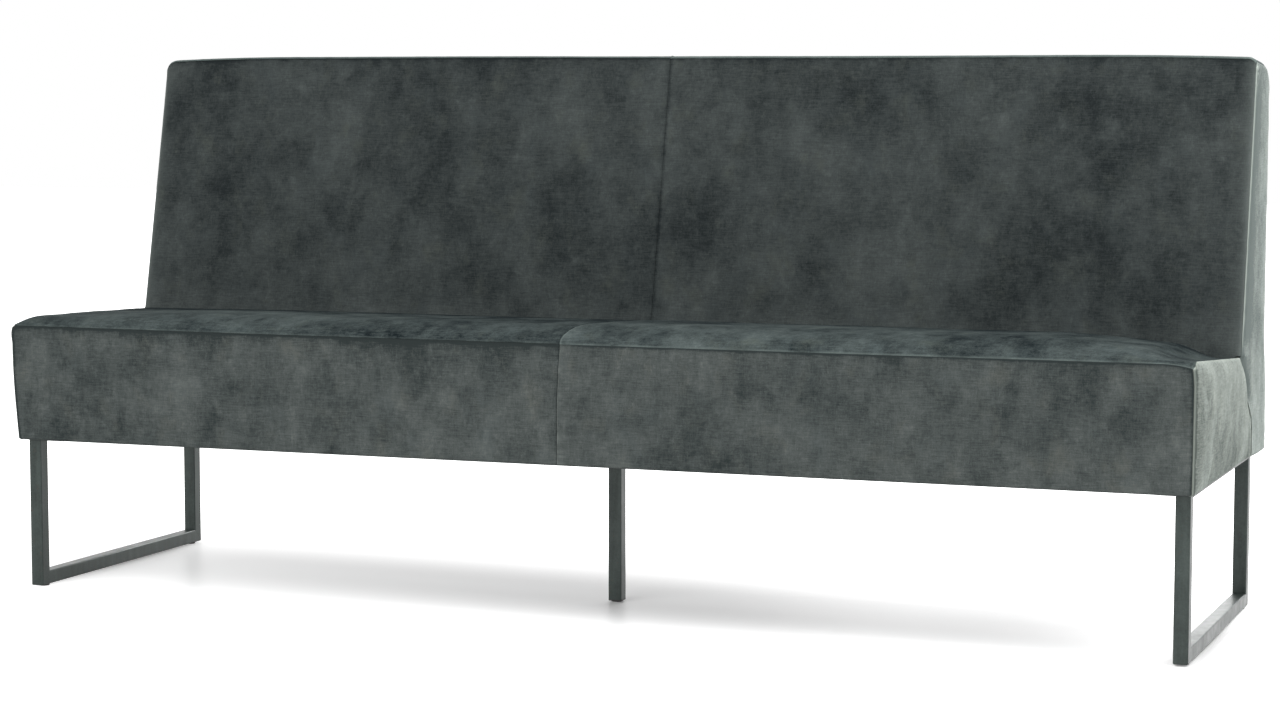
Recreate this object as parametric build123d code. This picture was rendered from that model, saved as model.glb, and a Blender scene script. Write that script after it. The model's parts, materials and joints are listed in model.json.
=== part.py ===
from build123d import *

import os
from math import cos, pi, radians, tan

os.makedirs("parts", exist_ok=True)

# Dining bench with a back: a padded seat box and a wedge-shaped padded back on two welded steel
# U-legs and a steel post under the middle. Millimetres. The origin is on the floor under the
# middle of the bench, +X is to the right of someone who faces the front, +Y runs from the front
# to the rear and +Z is up. Left and right are as seen from the front.

# The bench as a whole
half_length = 1088.0          # middle to the cover's corner at its bottom edge
corner_draw_in = 2.0          # how far the cover's corner draws in up to the seat's seam
half_depth = 338.0            # middle to the front cover, and to the rear cover
cover_thickness = 2.0         # velvet with its backing
soft_clearance = 0.3          # left between soft pieces that lie on each other
hem_width = 28.0              # cover turned under the frame
overrun = 40.0                # how far a cutting shape runs past what it cuts

# Steel legs
leg_height = 274.0            # underside of the floor rail to the top of the posts
leg_front_inset = 16.0        # front cover to the front post
leg_rear_inset = 65.0         # rear cover to the rear post
tube_size = 25.0
tube_wall = 2.0
tube_corner = 2.5
strip_width = 60.0            # flat strip between the tops of a leg's posts
strip_thickness = 5.0
plate_size = 80.0             # plate on the middle post
plate_corner = 4.0
middle_post_set_back = 247.0  # front cover to the middle post's front face
floor_glide_diameter = 20.0
floor_glide_height = 3.0
floor_glide_edge = 0.6
floor_glide_inset = 14.0      # end of the floor rail to the glide's edge
middle_glide_flange = 2.0
middle_glide_dome = 3.0
middle_glide_foot_share = 0.4 # width of the dome's flat foot, as a share of the dome's
middle_glide_plug = 15.0
plug_clearance = 0.2

# Fasteners
fastener_sides = 12           # flat sides of their shanks and rims, and of the holes for them
bolt_diameter = 8.0
bolt_head_width = 13.0
bolt_head_height = 5.3
leg_bolt_length = 35.0
back_bolt_length = 45.0
washer_diameter = 16.0
washer_thickness = 1.6
bolt_clearance = 1.0          # hole's diameter over the bolt's
thread_clearance = 0.2        # nut's bore over the bolt
tee_nut_flange = 22.0
tee_nut_flange_thickness = 1.5
tee_nut_barrel = 10.0
tee_nut_length = 11.0
tee_nut_clearance = 0.4       # hole's diameter over the barrel's
leg_bolt_count = 3
leg_bolt_margin = 82.0        # inner face of a post to the nearest bolt
plate_bolt_offset = 28.0      # middle of the plate to a bolt, along X and along Y
back_bolt_margin = 35.0       # end of the rib's foot to a bolt

# Wooden seat frame
rail_thickness = 25.0
rail_height = 110.0
board_thickness = 30.0        # boards that the legs are bolted to
leg_board_width = 45.0
middle_board_width = 100.0
cross_rail_drop = 30.0        # top of the rails to the top of the cross rails
cross_rail_place = 540.0      # middle to the outer cross rails and ribs
corner_block_leg = 60.0
corner_block_height = 60.0
dust_cover_thickness = 1.0
dust_cover_inset = 8.0        # edge of the outer cover to the dust cover
wadding_thickness = 8.0       # on the outside of the rails

# Seat filling and cover
webbing_width = 70.0
webbing_thickness = 2.0
seat_webbing_count = 14
spring_pad_thickness = 6.0
layer_set_back = 5.0          # rear face of the inner rail to the webbing and the pad
seat_box_height = 210.0       # cover's bottom edge to the front seam, in the middle of the bench
seam_rise = 2.0               # front seam at its highest, near the ends
seam_corner_drop = 4.0        # front seam at the corner, below the seam in the middle
crown_rise = 25.0
crown_run = 95.0              # front seam to the start of the flatter top
crown_bow = 4.5               # how far the top bows up between there and the back
rear_rise = 9.5               # where the seat meets the back
centre_dip = 3.0              # how deep the middle seam is sunk
centre_dip_width = 50.0       # from the middle seam to full height
end_fall_width = 190.0        # length over which the seat's top falls at the ends
end_rear_drop = 22.0          # end seam at the back, below the front seam in the middle
end_bow = 1.2                 # least bow of the seat's top, along its end seam
end_bulge = 14.0              # how far the end panel swells out
end_bulge_height = 180.0      # cover's bottom edge to the widest part
end_round = 26.0              # height of the end panel's round under its seam
dip_shares = (0, 0.15, 0.35, 0.65, 1)
rear_dip_share = 0.4          # of the dip, where the seat meets the back
fall_shares = (0, 0.3, 0.52, 0.7, 0.84, 0.94, 1)
rear_fall_share = 0.85        # of the fall's length, within which the rear edge falls
knee_share = 0.35             # of the crown's run, to the middle of its steep arc
knee_rise_share = 0.27        # of the crown's rise, bowed up there
end_panel_steps = 9           # stations along the end panel's top edge
bulge_front_share = 0.7       # power that brings the widest part towards the front
bulge_rear_share = 0.5        # of the bulge, left where the seat meets the back
seam_shares = ((0.36, 0.22, 0.36), (0.7, 0.62, 0.2), (1.0, 1.0, 0.08))
end_low_bow_share = 0.12      # of the bulge, the bow of the panel's long lower arc
end_least_bow_share = 0.25    # of the top's least bow, the least bow of the end panel's arcs
end_high_knee_share = 0.68    # along the panel's upper arc, where it turns most
hidden_steps = 4              # straight steps that stand for each arc on the panel's hidden side

# Back
back_height = 988.0           # top of the back from the floor
back_recline = 12.0           # degrees
back_foot = 103.0             # back's front face, from the middle, at the seat's crown
back_foam_thickness = 43.0
back_top_fall = 7.0           # top of the back, front to rear
back_front_round = 8.0
back_rear_round = 35.0
back_corner_round = 16.0
back_end_fall = 12.0          # top of the back, down towards its ends
back_end_fall_width = 137.0
back_end_round = 15.0
back_end_draw_in = 1.0        # cover's corner to the back's end
back_end_seam = 5.0           # back's end to the seam of its front panel
back_top_seam = 6.0           # top of the back to the seam of its front panel
back_rear_seam = 42.0         # top of the back to the seam of its rear panel
rib_thickness = 22.0
rib_gap = 4.0                 # leg board to the ribs' feet, for the tee nuts
top_rail_thickness = 22.0
top_foam_thickness = 21.0
outer_board_thickness = 3.0
rear_wadding_thickness = 5.0
back_webbing_count = 14
end_seam_foot = 195.0         # seam between the end panels of seat and back, at the bottom
end_seam_rise = 103.0         # cover's bottom edge to where that seam turns to the front

# Heights from the floor up
post_top = floor_glide_height + leg_height
strip_bottom = post_top - strip_thickness
cover_bottom = post_top + dust_cover_thickness
seat_height = cover_bottom + seat_box_height
back_foot_height = seat_height + crown_rise
end_seam_bend = cover_bottom + end_seam_rise
rail_bottom = cover_bottom + cover_thickness
rail_top = rail_bottom + rail_height
board_top = cover_bottom + board_thickness
spring_pad_bottom = rail_top + webbing_thickness
spring_pad_top = spring_pad_bottom + spring_pad_thickness
top_rail_top = back_height - cover_thickness - top_foam_thickness
top_rail_bottom = top_rail_top - top_rail_thickness
rear_layers_top = back_height - back_top_fall - back_rear_round
middle_post_bottom = middle_glide_flange + middle_glide_dome

# Places along X and Y
seat_half = half_length - corner_draw_in
back_half = half_length - back_end_draw_in
back_seam_half = back_half - back_end_seam
frame_half = half_length - cover_thickness - wadding_thickness
frame_inner_half = frame_half - rail_thickness
frame_front = -half_depth + cover_thickness + wadding_thickness
frame_rear = -frame_front
rail_inner_front = frame_front + rail_thickness
rail_inner_rear = frame_rear - rail_thickness
leg_front = -half_depth + leg_front_inset
leg_rear = half_depth - leg_rear_inset
leg_depth = leg_rear - leg_front
leg_middle = frame_half - tube_size / 2
leg_bolt_place = frame_inner_half - leg_board_width / 2
middle_post_place = -half_depth + middle_post_set_back + tube_size / 2
recline_slope = tan(radians(back_recline))
recline_cos = cos(radians(back_recline))


# Y of the back's front face at a height, or of a plane behind it
def back_front(height, behind=0.0):
    return back_foot + (height - back_foot_height) * recline_slope + behind / recline_cos


core_depth = cover_thickness + back_foam_thickness + webbing_thickness
inner_rail_rear = back_front(rail_top, core_depth)
inner_rail_front = inner_rail_rear - rail_thickness

parts = {}


# Keeps a right-hand piece and its mirror image on the left
def keep_pair(name_pattern, right_piece):
    parts[name_pattern.format("right")] = right_piece
    parts[name_pattern.format("left")] = mirror(right_piece, about=Plane.YZ)


# A box between two corners
def block(x0, x1, y0, y1, z0, z1):
    size = Box(x1 - x0, y1 - y0, z1 - z0)
    return Pos((x0 + x1) / 2, (y0 + y1) / 2, (z0 + z1) / 2) * size


# A closed outline of (y, z) points, pushed along X between two places
def side_prism(points, x0, x1):
    outline = Plane.YZ * make_face(Polyline(*points, close=True))
    return Pos(x0, 0, 0) * extrude(outline, amount=x1 - x0)


# Outline of a fastener's shank, rim or hole: a polygon, because they are many
def fastener_ring(diameter):
    return RegularPolygon(diameter / 2, fastener_sides)


# A fastener's shank, rim or hole that stands on a place and runs along Z
def upright_bar(diameter, height, x, y, z):
    return Pos(x, y, z) * extrude(fastener_ring(diameter), amount=height)


# A square tube that stands on z0 at (x, y)
def square_tube(x, y, z0, z1):
    inner = tube_size - 2 * tube_wall
    ring = RectangleRounded(tube_size, tube_size, tube_corner) - Rectangle(inner, inner)
    return Pos(x, y, z0) * extrude(ring, amount=z1 - z0)


# U-leg: two posts and a floor rail of square tube, mitred at the floor, and a flat top strip
def u_leg():
    z0 = floor_glide_height
    z1 = z0 + tube_size
    front_inner = leg_front + tube_size
    rear_inner = leg_rear - tube_size
    x0 = leg_middle - tube_size
    x1 = leg_middle + tube_size

    front_post = square_tube(leg_middle, leg_front + tube_size / 2, z0, post_top)
    front_post -= side_prism([(leg_front, z0), (front_inner, z0), (front_inner, z1)], x0, x1)
    rear_post = square_tube(leg_middle, leg_rear - tube_size / 2, z0, post_top)
    rear_post -= side_prism([(leg_rear, z0), (rear_inner, z0), (rear_inner, z1)], x0, x1)

    lying_tube = Rotation(-90, 0, 0) * square_tube(0, 0, 0, leg_depth)
    floor_rail = Pos(leg_middle, leg_front, z0 + tube_size / 2) * lying_tube
    floor_rail -= side_prism([(leg_front, z0), (leg_front, z1), (front_inner, z1)], x0, x1)
    floor_rail -= side_prism([(leg_rear, z0), (leg_rear, z1), (rear_inner, z1)], x0, x1)

    strip = block(frame_half - strip_width, frame_half, front_inner, rear_inner, strip_bottom, post_top)
    for y in leg_bolt_rows():
        strip -= upright_bar(
            bolt_diameter + bolt_clearance, strip_thickness, leg_bolt_place, y, strip_bottom
        )

    keep_pair("{}_leg_front_post", front_post)
    keep_pair("{}_leg_floor_rail", floor_rail)
    keep_pair("{}_leg_rear_post", rear_post)
    keep_pair("{}_leg_top_strip", strip)


# Y of each bolt through a leg's top strip
def leg_bolt_rows():
    first = leg_front + tube_size + leg_bolt_margin
    last = leg_rear - tube_size - leg_bolt_margin / 2
    pitch = (last - first) / (leg_bolt_count - 1)
    return [first + pitch * row for row in range(leg_bolt_count)]


# (x, y) of every bolt that comes up from below: both legs' strips and the middle plate
def leg_bolt_places():
    places = [(side * leg_bolt_place, y) for side in (-1, 1) for y in leg_bolt_rows()]
    return places + plate_bolt_places()


def plate_bolt_places():
    near = middle_post_place - plate_bolt_offset
    far = middle_post_place + plate_bolt_offset
    return [(x, y) for x in (-plate_bolt_offset, plate_bolt_offset) for y in (near, far)]


# Middle post with its top plate and the domed glide plugged into its foot
def middle_leg():
    parts["middle_leg_post"] = square_tube(0, middle_post_place, middle_post_bottom, strip_bottom)

    plate = extrude(RectangleRounded(plate_size, plate_size, plate_corner), amount=strip_thickness)
    plate = Pos(0, middle_post_place, strip_bottom) * plate
    for x, y in plate_bolt_places():
        plate -= upright_bar(bolt_diameter + bolt_clearance, strip_thickness, x, y, strip_bottom)
    parts["middle_leg_plate"] = plate

    dome_top = tube_size / 2
    dome_foot = dome_top * middle_glide_foot_share
    dome_side = Polyline(
        (0, 0),
        (dome_foot, 0),
        ((dome_foot + 2 * dome_top) / 3, middle_glide_dome / 3),
        (dome_top, middle_glide_dome),
        (0, middle_glide_dome),
        close=True,
    )
    dome = revolve(Plane.XZ * make_face(dome_side), axis=Axis.Z)
    flange = extrude(RectangleRounded(tube_size, tube_size, tube_corner), amount=middle_glide_flange)
    plug_size = tube_size - 2 * tube_wall - 2 * plug_clearance
    plug = extrude(Rectangle(plug_size, plug_size), amount=middle_glide_plug)
    glide = dome + Pos(0, 0, middle_glide_dome) * flange + Pos(0, 0, middle_post_bottom) * plug
    parts["middle_leg_glide"] = Pos(0, middle_post_place, 0) * glide


# Thin round glides under both floor rails
def floor_glides():
    disc = extrude(Circle(floor_glide_diameter / 2), amount=floor_glide_height)
    disc = chamfer(disc.edges().group_by(Axis.Z)[0], floor_glide_edge)
    front = leg_front + floor_glide_inset + floor_glide_diameter / 2
    rear = leg_rear - floor_glide_inset - floor_glide_diameter / 2
    places = [Pos(side * leg_middle, y, 0) for side in (-1, 1) for y in (front, rear)]
    parts["floor_glides"] = Compound([place * disc for place in places])


# Fasteners, each along +Z from the face that its head or flange sits on
def hex_bolt(length):
    head = extrude(RegularPolygon(bolt_head_width / 2, 6, major_radius=False), amount=-bolt_head_height)
    return head + upright_bar(bolt_diameter, length, 0, 0, 0)


def plain_washer():
    ring = fastener_ring(washer_diameter) - fastener_ring(bolt_diameter + bolt_clearance)
    return extrude(ring, amount=washer_thickness)


def tee_nut():
    flange = upright_bar(tee_nut_flange, tee_nut_flange_thickness, 0, 0, 0)
    nut = flange + upright_bar(tee_nut_barrel, tee_nut_length, 0, 0, -tee_nut_length)
    bore_length = tee_nut_length + tee_nut_flange_thickness
    return nut - upright_bar(bolt_diameter + thread_clearance, bore_length, 0, 0, -tee_nut_length)


# (y, z) of the bolts that hold an end rib to its end rail
def back_bolt_places():
    height = (board_top + rib_gap + rail_top) / 2
    return [(inner_rail_rear + back_bolt_margin, height), (rail_inner_rear - back_bolt_margin, height)]


def fasteners():
    head_seat = strip_bottom - washer_thickness
    leg_bolt = hex_bolt(leg_bolt_length)
    washer = plain_washer()
    nut = tee_nut()
    spots = leg_bolt_places()
    washers = [Pos(x, y, head_seat) * washer for x, y in spots]
    nuts = [Pos(x, y, board_top) * nut for x, y in spots]
    parts["leg_bolts"] = Compound([Pos(x, y, head_seat) * leg_bolt for x, y in spots])

    rib_inner = frame_inner_half - rib_thickness
    flange_seat = frame_half - tee_nut_flange_thickness
    back_bolt = hex_bolt(back_bolt_length)
    back_bolts = []
    for side in (-1, 1):
        outwards = Rotation(0, 90 * side, 0)
        for y, z in back_bolt_places():
            head_place = Pos(side * (rib_inner - washer_thickness), y, z)
            back_bolts.append(head_place * outwards * back_bolt)
            washers.append(head_place * outwards * washer)
            nuts.append(Pos(side * flange_seat, y, z) * outwards * nut)
    parts["back_bolts"] = Compound(back_bolts)
    parts["washers"] = Compound(washers)
    parts["tee_nuts"] = Compound(nuts)


# Seat frame: rails round the box, the inner rail under the back's front, cross rails, the boards
# for the legs and the corner blocks
def seat_frame():
    parts["seat_front_rail"] = block(
        -frame_half, frame_half, frame_front, rail_inner_front, rail_bottom, rail_top
    )
    parts["seat_rear_rail"] = block(
        -frame_half, frame_half, rail_inner_rear, frame_rear, rail_bottom, rail_top
    )
    parts["seat_inner_rail"] = block(
        -frame_inner_half, frame_inner_half, inner_rail_front, inner_rail_rear, board_top, rail_top
    )

    end_rail = block(
        frame_inner_half, frame_half, rail_inner_front, rail_inner_rear, rail_bottom, rail_top
    )
    flange_room = tee_nut_flange + tee_nut_clearance
    flange_seat = frame_half - tee_nut_flange_thickness
    for y, z in back_bolt_places():
        along_x = Pos(0, y, z) * Rotation(0, 90, 0)
        end_rail -= along_x * upright_bar(
            tee_nut_barrel + tee_nut_clearance, rail_thickness, 0, 0, frame_inner_half
        )
        end_rail -= along_x * upright_bar(flange_room, tee_nut_flange_thickness, 0, 0, flange_seat)
    keep_pair("seat_{}_rail", end_rail)

    cross_rail = block(
        -rail_thickness / 2,
        rail_thickness / 2,
        rail_inner_front,
        inner_rail_front,
        board_top,
        rail_top - cross_rail_drop,
    )
    rows = [Pos(x, 0, 0) for x in (-cross_rail_place, 0, cross_rail_place)]
    parts["seat_cross_rails"] = Compound([row * cross_rail for row in rows])

    leg_board = block(
        frame_inner_half - leg_board_width,
        frame_inner_half,
        rail_inner_front,
        rail_inner_rear,
        cover_bottom,
        board_top,
    )
    for y in leg_bolt_rows():
        leg_board -= upright_bar(
            tee_nut_barrel + tee_nut_clearance, board_thickness, leg_bolt_place, y, cover_bottom
        )
    parts["leg_boards"] = Compound([leg_board, mirror(leg_board, about=Plane.YZ)])

    middle_board = block(
        -middle_board_width / 2,
        middle_board_width / 2,
        rail_inner_front,
        inner_rail_rear,
        cover_bottom,
        board_top,
    )
    for x, y in plate_bolt_places():
        middle_board -= upright_bar(
            tee_nut_barrel + tee_nut_clearance, board_thickness, x, y, cover_bottom
        )
    parts["middle_leg_board"] = middle_board

    leg = corner_block_leg
    triangle = make_face(Polyline((0, 0), (-leg, 0), (0, leg), close=True))
    front_block = extrude(triangle, amount=corner_block_height)
    rear_block = mirror(front_block, about=Plane.XZ)
    block_bottom = rail_top - corner_block_height
    right_blocks = [
        Pos(frame_inner_half, rail_inner_front, block_bottom) * front_block,
        Pos(frame_inner_half, inner_rail_front, block_bottom) * rear_block,
    ]
    left_blocks = [mirror(piece, about=Plane.YZ) for piece in right_blocks]
    parts["seat_corner_blocks"] = Compound(right_blocks + left_blocks)


# Middles of a number of equal bands, evenly spread between the end rails
def band_places(count):
    pitch = 2 * frame_inner_half / count
    return [-frame_inner_half + pitch * (band + 1 / 2) for band in range(count)]


# Elastic webbing over the seat's rails and the felt pad on it
def seat_springing():
    band = block(
        -webbing_width / 2,
        webbing_width / 2,
        frame_front,
        inner_rail_rear - layer_set_back,
        rail_top,
        spring_pad_bottom,
    )
    bands = [Pos(x, 0, 0) * band for x in band_places(seat_webbing_count)]
    parts["seat_webbing"] = Compound(bands)
    parts["seat_spring_pad"] = block(
        -frame_half,
        frame_half,
        frame_front,
        inner_rail_rear - layer_set_back,
        spring_pad_bottom,
        spring_pad_top,
    )


# Stations along the right half of the seat's top, from the sunk middle seam to the end seam:
# (place, height of the front seam, of the crown and at the back, bow of the flatter top)
def seat_stations(end):
    crown = seat_height + crown_rise
    rear = seat_height + rear_rise
    front_top = seat_height + seam_rise
    front_end = seat_height - seam_corner_drop
    rear_end = seat_height - end_rear_drop
    crown_end = end_seam_height(crown_run - half_depth)
    stations = []
    for share in dip_shares:
        dip = centre_dip * (1 - share) ** 2
        stations.append(
            (centre_dip_width * share, seat_height, crown - dip, rear - dip * rear_dip_share, crown_bow)
        )
    for share in fall_shares:
        stations.append((
            end - end_fall_width * (1 - share),
            front_end + (front_top - front_end) * (1 - share ** 3),
            crown_end + (crown - crown_end) * (1 - share ** 3),
            rear_end + (rear - rear_end) * (1 - eased(min(share / rear_fall_share, 1))),
            end_bow + (crown_bow - end_bow) * (1 - share ** 2),
        ))
    return stations


# Slow at both ends, fast in the middle
def eased(share):
    return share * share * (3 - 2 * share)


# Height of the seam between the seat's top and its end panel: straight down to the back
def end_seam_height(y):
    rear_height = seat_height - end_rear_drop
    rear_place = back_front(rear_height)
    share = (y + half_depth) / (rear_place + half_depth)
    return seat_height - seam_corner_drop - (end_rear_drop - seam_corner_drop) * share


# The two arcs of the seat's top at one station, lowered by a depth: steep behind the front
# seam, then flat and falling towards the back
def seat_top_arcs(station, depth, behind):
    x, front, crown, rear, bow = station
    y_front = behind - half_depth
    y_crown = crown_run - half_depth
    z_front, z_crown, z_rear = front - depth, crown - depth, rear - depth
    y_rear = back_front(z_rear) - soft_clearance
    y_knee = y_front + (y_crown - y_front) * knee_share
    z_knee = z_front + (z_crown - z_front) * knee_share
    z_knee += max(crown - front, end_bow) * knee_rise_share
    steep = ThreePointArc((x, y_front, z_front), (x, y_knee, z_knee), (x, y_crown, z_crown))
    middle = (x, (y_crown + y_rear) / 2, (z_crown + z_rear) / 2 + bow)
    flat = ThreePointArc((x, y_crown, z_crown), middle, (x, y_rear, z_rear))
    return steep, flat


def seat_top_cover():
    sections = []
    for station in seat_stations(seat_half - cover_thickness):
        outer = seat_top_arcs(station, 0, 0)
        inner = seat_top_arcs(station, cover_thickness, 0)
        front_edge = Line(inner[0] @ 0, outer[0] @ 0)
        rear_edge = Line(outer[1] @ 1, inner[1] @ 1)
        sections.append(Wire([front_edge, *outer, rear_edge, *inner]))
    keep_pair("seat_top_cover_{}", Solid.make_loft(sections, ruled=True))


# Foam under one half of the top cover, crowned as the cover is
def seat_foam():
    sections = []
    depth = cover_thickness + soft_clearance
    for station in seat_stations(frame_half):
        steep, flat = seat_top_arcs(station, depth, depth)
        front_top = steep @ 0
        rear_top = flat @ 1
        front_foot = (station[0], front_top.Y, spring_pad_top)
        rear_foot = (station[0], back_front(spring_pad_top) - soft_clearance, spring_pad_top)
        sections.append(
            Wire([
                Line(front_foot, front_top),
                steep,
                flat,
                Line(rear_top, rear_foot),
                Line(rear_foot, front_foot),
            ])
        )
    keep_pair("seat_foam_{}", Solid.make_loft(sections, ruled=True))


# Thin wadding between the front rail and the front cover
def seat_front_wadding():
    parts["seat_front_wadding"] = block(
        -frame_half,
        frame_half,
        -half_depth + cover_thickness,
        frame_front,
        rail_bottom,
        spring_pad_top,
    )


# Front panel: a flat sheet whose top edge follows the seam, with its hem under the frame
def seat_front_cover():
    stations = seat_stations(seat_half - cover_thickness)
    under = cover_thickness + soft_clearance
    seam = [(x, front - under) for x, front, crown, rear, bow in stations]
    seam.append((seat_half, seam[-1][1]))
    outline = [(0, cover_bottom), (half_length, cover_bottom)] + seam[::-1]
    sheet = Plane.XZ * make_face(Polyline(*outline, close=True))
    panel = Pos(0, -half_depth, 0) * extrude(sheet, amount=-cover_thickness)
    hem = block(
        0,
        half_length - hem_width,
        -half_depth,
        -half_depth + hem_width,
        cover_bottom,
        rail_bottom,
    )
    keep_pair("seat_front_cover_{}", panel + hem)


# Stations along the seat's end panel, front to rear: (y, height of its top edge, share of the
# full bulge). Behind the back's front face the top edge is the seam with the back's end panel.
def end_stations():
    front = cover_thickness - half_depth
    rear_top = seat_height - end_rear_drop
    corner = back_front(rear_top)
    stations = []
    for step in range(end_panel_steps):
        share = (1 - cos(pi * step / (end_panel_steps - 1))) / 2
        y = front + (corner - front) * share
        swell = 1 - abs(2 * share ** bulge_front_share - 1) ** 3
        stations.append((y, end_seam_height(y), max(swell, bulge_rear_share * share)))
    for run, fall, swell in seam_shares:
        y = corner + (end_seam_foot - corner) * run
        stations.append((y, rear_top - (rear_top - end_seam_bend) * fall, swell))
    return stations


# Outer line of the end panel at one station, moved in by a depth: two arcs, bottom to seam
def end_arcs(station, depth, bottom, top_drop):
    y, top, swell = station
    least_bow = end_bow * end_least_bow_share
    bow = end_bulge * end_low_bow_share * swell + least_bow
    z_top = top - top_drop
    z_wide = min(cover_bottom + end_bulge_height, top - end_round)
    x_foot = half_length - depth
    x_wide = half_length + end_bulge * swell - depth
    x_top = seat_half - depth
    z_knee = z_wide + (z_top - z_wide) * end_high_knee_share
    x_knee = x_wide + (x_top - x_wide) * end_high_knee_share ** 2 + least_bow
    low = ThreePointArc(
        (x_foot, y, bottom), ((x_foot + x_wide) / 2 + bow, y, (bottom + z_wide) / 2), (x_wide, y, z_wide)
    )
    high = ThreePointArc((x_wide, y, z_wide), (x_knee, y, z_knee), (x_top, y, z_top))
    return low, high


# Straight steps along a row of arcs, for lines that nothing shows
def stepped(arcs):
    points = [arcs[0] @ 0]
    points += [arc @ (step / hidden_steps) for arc in arcs for step in range(1, hidden_steps + 1)]
    return [Line(start, end) for start, end in zip(points, points[1:])]


def seat_end_cover():
    sections = []
    for station in end_stations():
        outer = end_arcs(station, 0, cover_bottom, 0)
        inner = end_arcs(station, cover_thickness, cover_bottom, 0)
        foot = Line(inner[0] @ 0, outer[0] @ 0)
        rim = Line(outer[1] @ 1, inner[1] @ 1)
        sections.append(Wire([foot, *outer, rim, *stepped(inner)]))
    panel = Solid.make_loft(sections, ruled=True)
    hem = block(
        half_length - hem_width,
        half_length - cover_thickness / 2,
        -half_depth + cover_thickness,
        end_seam_foot,
        cover_bottom,
        rail_bottom,
    )
    keep_pair("seat_end_cover_{}", panel + hem)


# Soft pad between the end rail, the foam's end and the end cover
def seat_end_pad():
    sections = []
    depth = cover_thickness + 2 * soft_clearance
    for station in end_stations():
        y = station[0]
        low, high = end_arcs(station, depth, rail_bottom, depth)
        foot = low @ 0
        rim = high @ 1
        inner_foot = (frame_half, y, rail_bottom)
        inner_rim = (frame_half, y, rim.Z)
        sections.append(
            Wire([
                Line(inner_foot, foot),
                *stepped([low, high]),
                Line(rim, inner_rim),
                Line(inner_rim, inner_foot),
            ])
        )
    keep_pair("seat_end_pad_{}", Solid.make_loft(sections, ruled=True))


def dust_cover():
    side = half_length - dust_cover_inset
    depth = half_depth - dust_cover_inset
    sheet = block(-side, side, -depth, depth, post_top, cover_bottom)
    for x, y in leg_bolt_places():
        sheet -= upright_bar(bolt_diameter + bolt_clearance, dust_cover_thickness, x, y, post_top)
    parts["dust_cover"] = sheet


# The back's wedge seen from its end, moved in by a depth: reclined front, top that falls to
# the rear, upright rear, running down to a given height. Its edges are softened by rounds on the
# cover and by bevels on the foam.
def back_side_shape(depth, bottom, soften):
    top_front = back_front(back_height)
    slope = back_top_fall / (half_depth - top_front)
    # where the front plane and the top plane meet, both moved in
    base = back_front(0, depth)
    top_line = back_height - depth + slope * top_front
    y_top = (base + recline_slope * top_line) / (1 + recline_slope * slope)
    y_rear = half_depth - depth
    outline = Polyline(
        (back_front(bottom, depth), bottom),
        (y_top, top_line - slope * y_top),
        (y_rear, top_line - slope * y_rear),
        (y_rear, bottom),
        close=True,
    )
    shape = make_face(outline)
    front_corner = shape.vertices().sort_by(lambda v: v.Y - v.X)[-1]
    shape = soften(front_corner, back_front_round - depth)
    rear_corner = shape.vertices().sort_by(lambda v: v.X + v.Y)[-1]
    return Plane.YZ * soften(rear_corner, back_rear_round - depth)


# The back seen from the front, moved in at its ends and down: level, then falling to the ends
def back_front_shape(depth, drop, soften=fillet):
    side = back_half - depth
    level = back_height - drop
    start = side - back_end_fall_width
    fall = TangentArc((start, level), (side, level - back_end_fall), tangent=(1, 0))
    outline = fall + Polyline((side, level - back_end_fall), (side, 0), (0, 0), (0, level), (start, level))
    shape = make_face(outline)
    corner = shape.vertices().filter_by(lambda v: v.X > side - back_end_round).sort_by(Axis.Y)[-1]
    return Plane.XZ * soften(corner, back_end_round)


# The right half of the back's solid, moved in by a depth
def back_solid(depth, bottom, soften=fillet):
    wedge = extrude(back_side_shape(depth, bottom, soften), amount=back_half - depth)
    front = extrude(back_front_shape(depth, depth, soften), amount=-half_depth, both=True)
    # softened front edge, along the recline
    side = back_half - depth
    rear = 2 * half_depth
    plan = make_face(
        Polyline((0, back_front(0, depth)), (side, back_front(0, depth)), (side, rear), (0, rear), close=True)
    )
    corner = plan.vertices().sort_by(lambda v: v.X - v.Y)[-1]
    plan = soften(corner, back_corner_round - depth)
    column = extrude(plan, amount=(back_height + overrun) / recline_cos, dir=(0, recline_slope, 1))
    return wedge & front & column


# Region of the back's end panel, seen from the end: behind its seam with the seat's end panel
def end_panel_region(depth, bottom):
    corner_on = end_stations()[-len(seam_shares) - 1:]
    seam = [(station[0] + depth, station[1] + depth) for station in corner_on]
    start = seam[0]
    points = [(start[0] - overrun, start[1])] + seam + [(seam[-1][0], bottom)]
    far = half_depth + overrun
    top = back_height + overrun
    points += [(far, bottom), (far, top), (start[0] - overrun, top)]
    return side_prism(points, 0, half_length + overrun)


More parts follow.
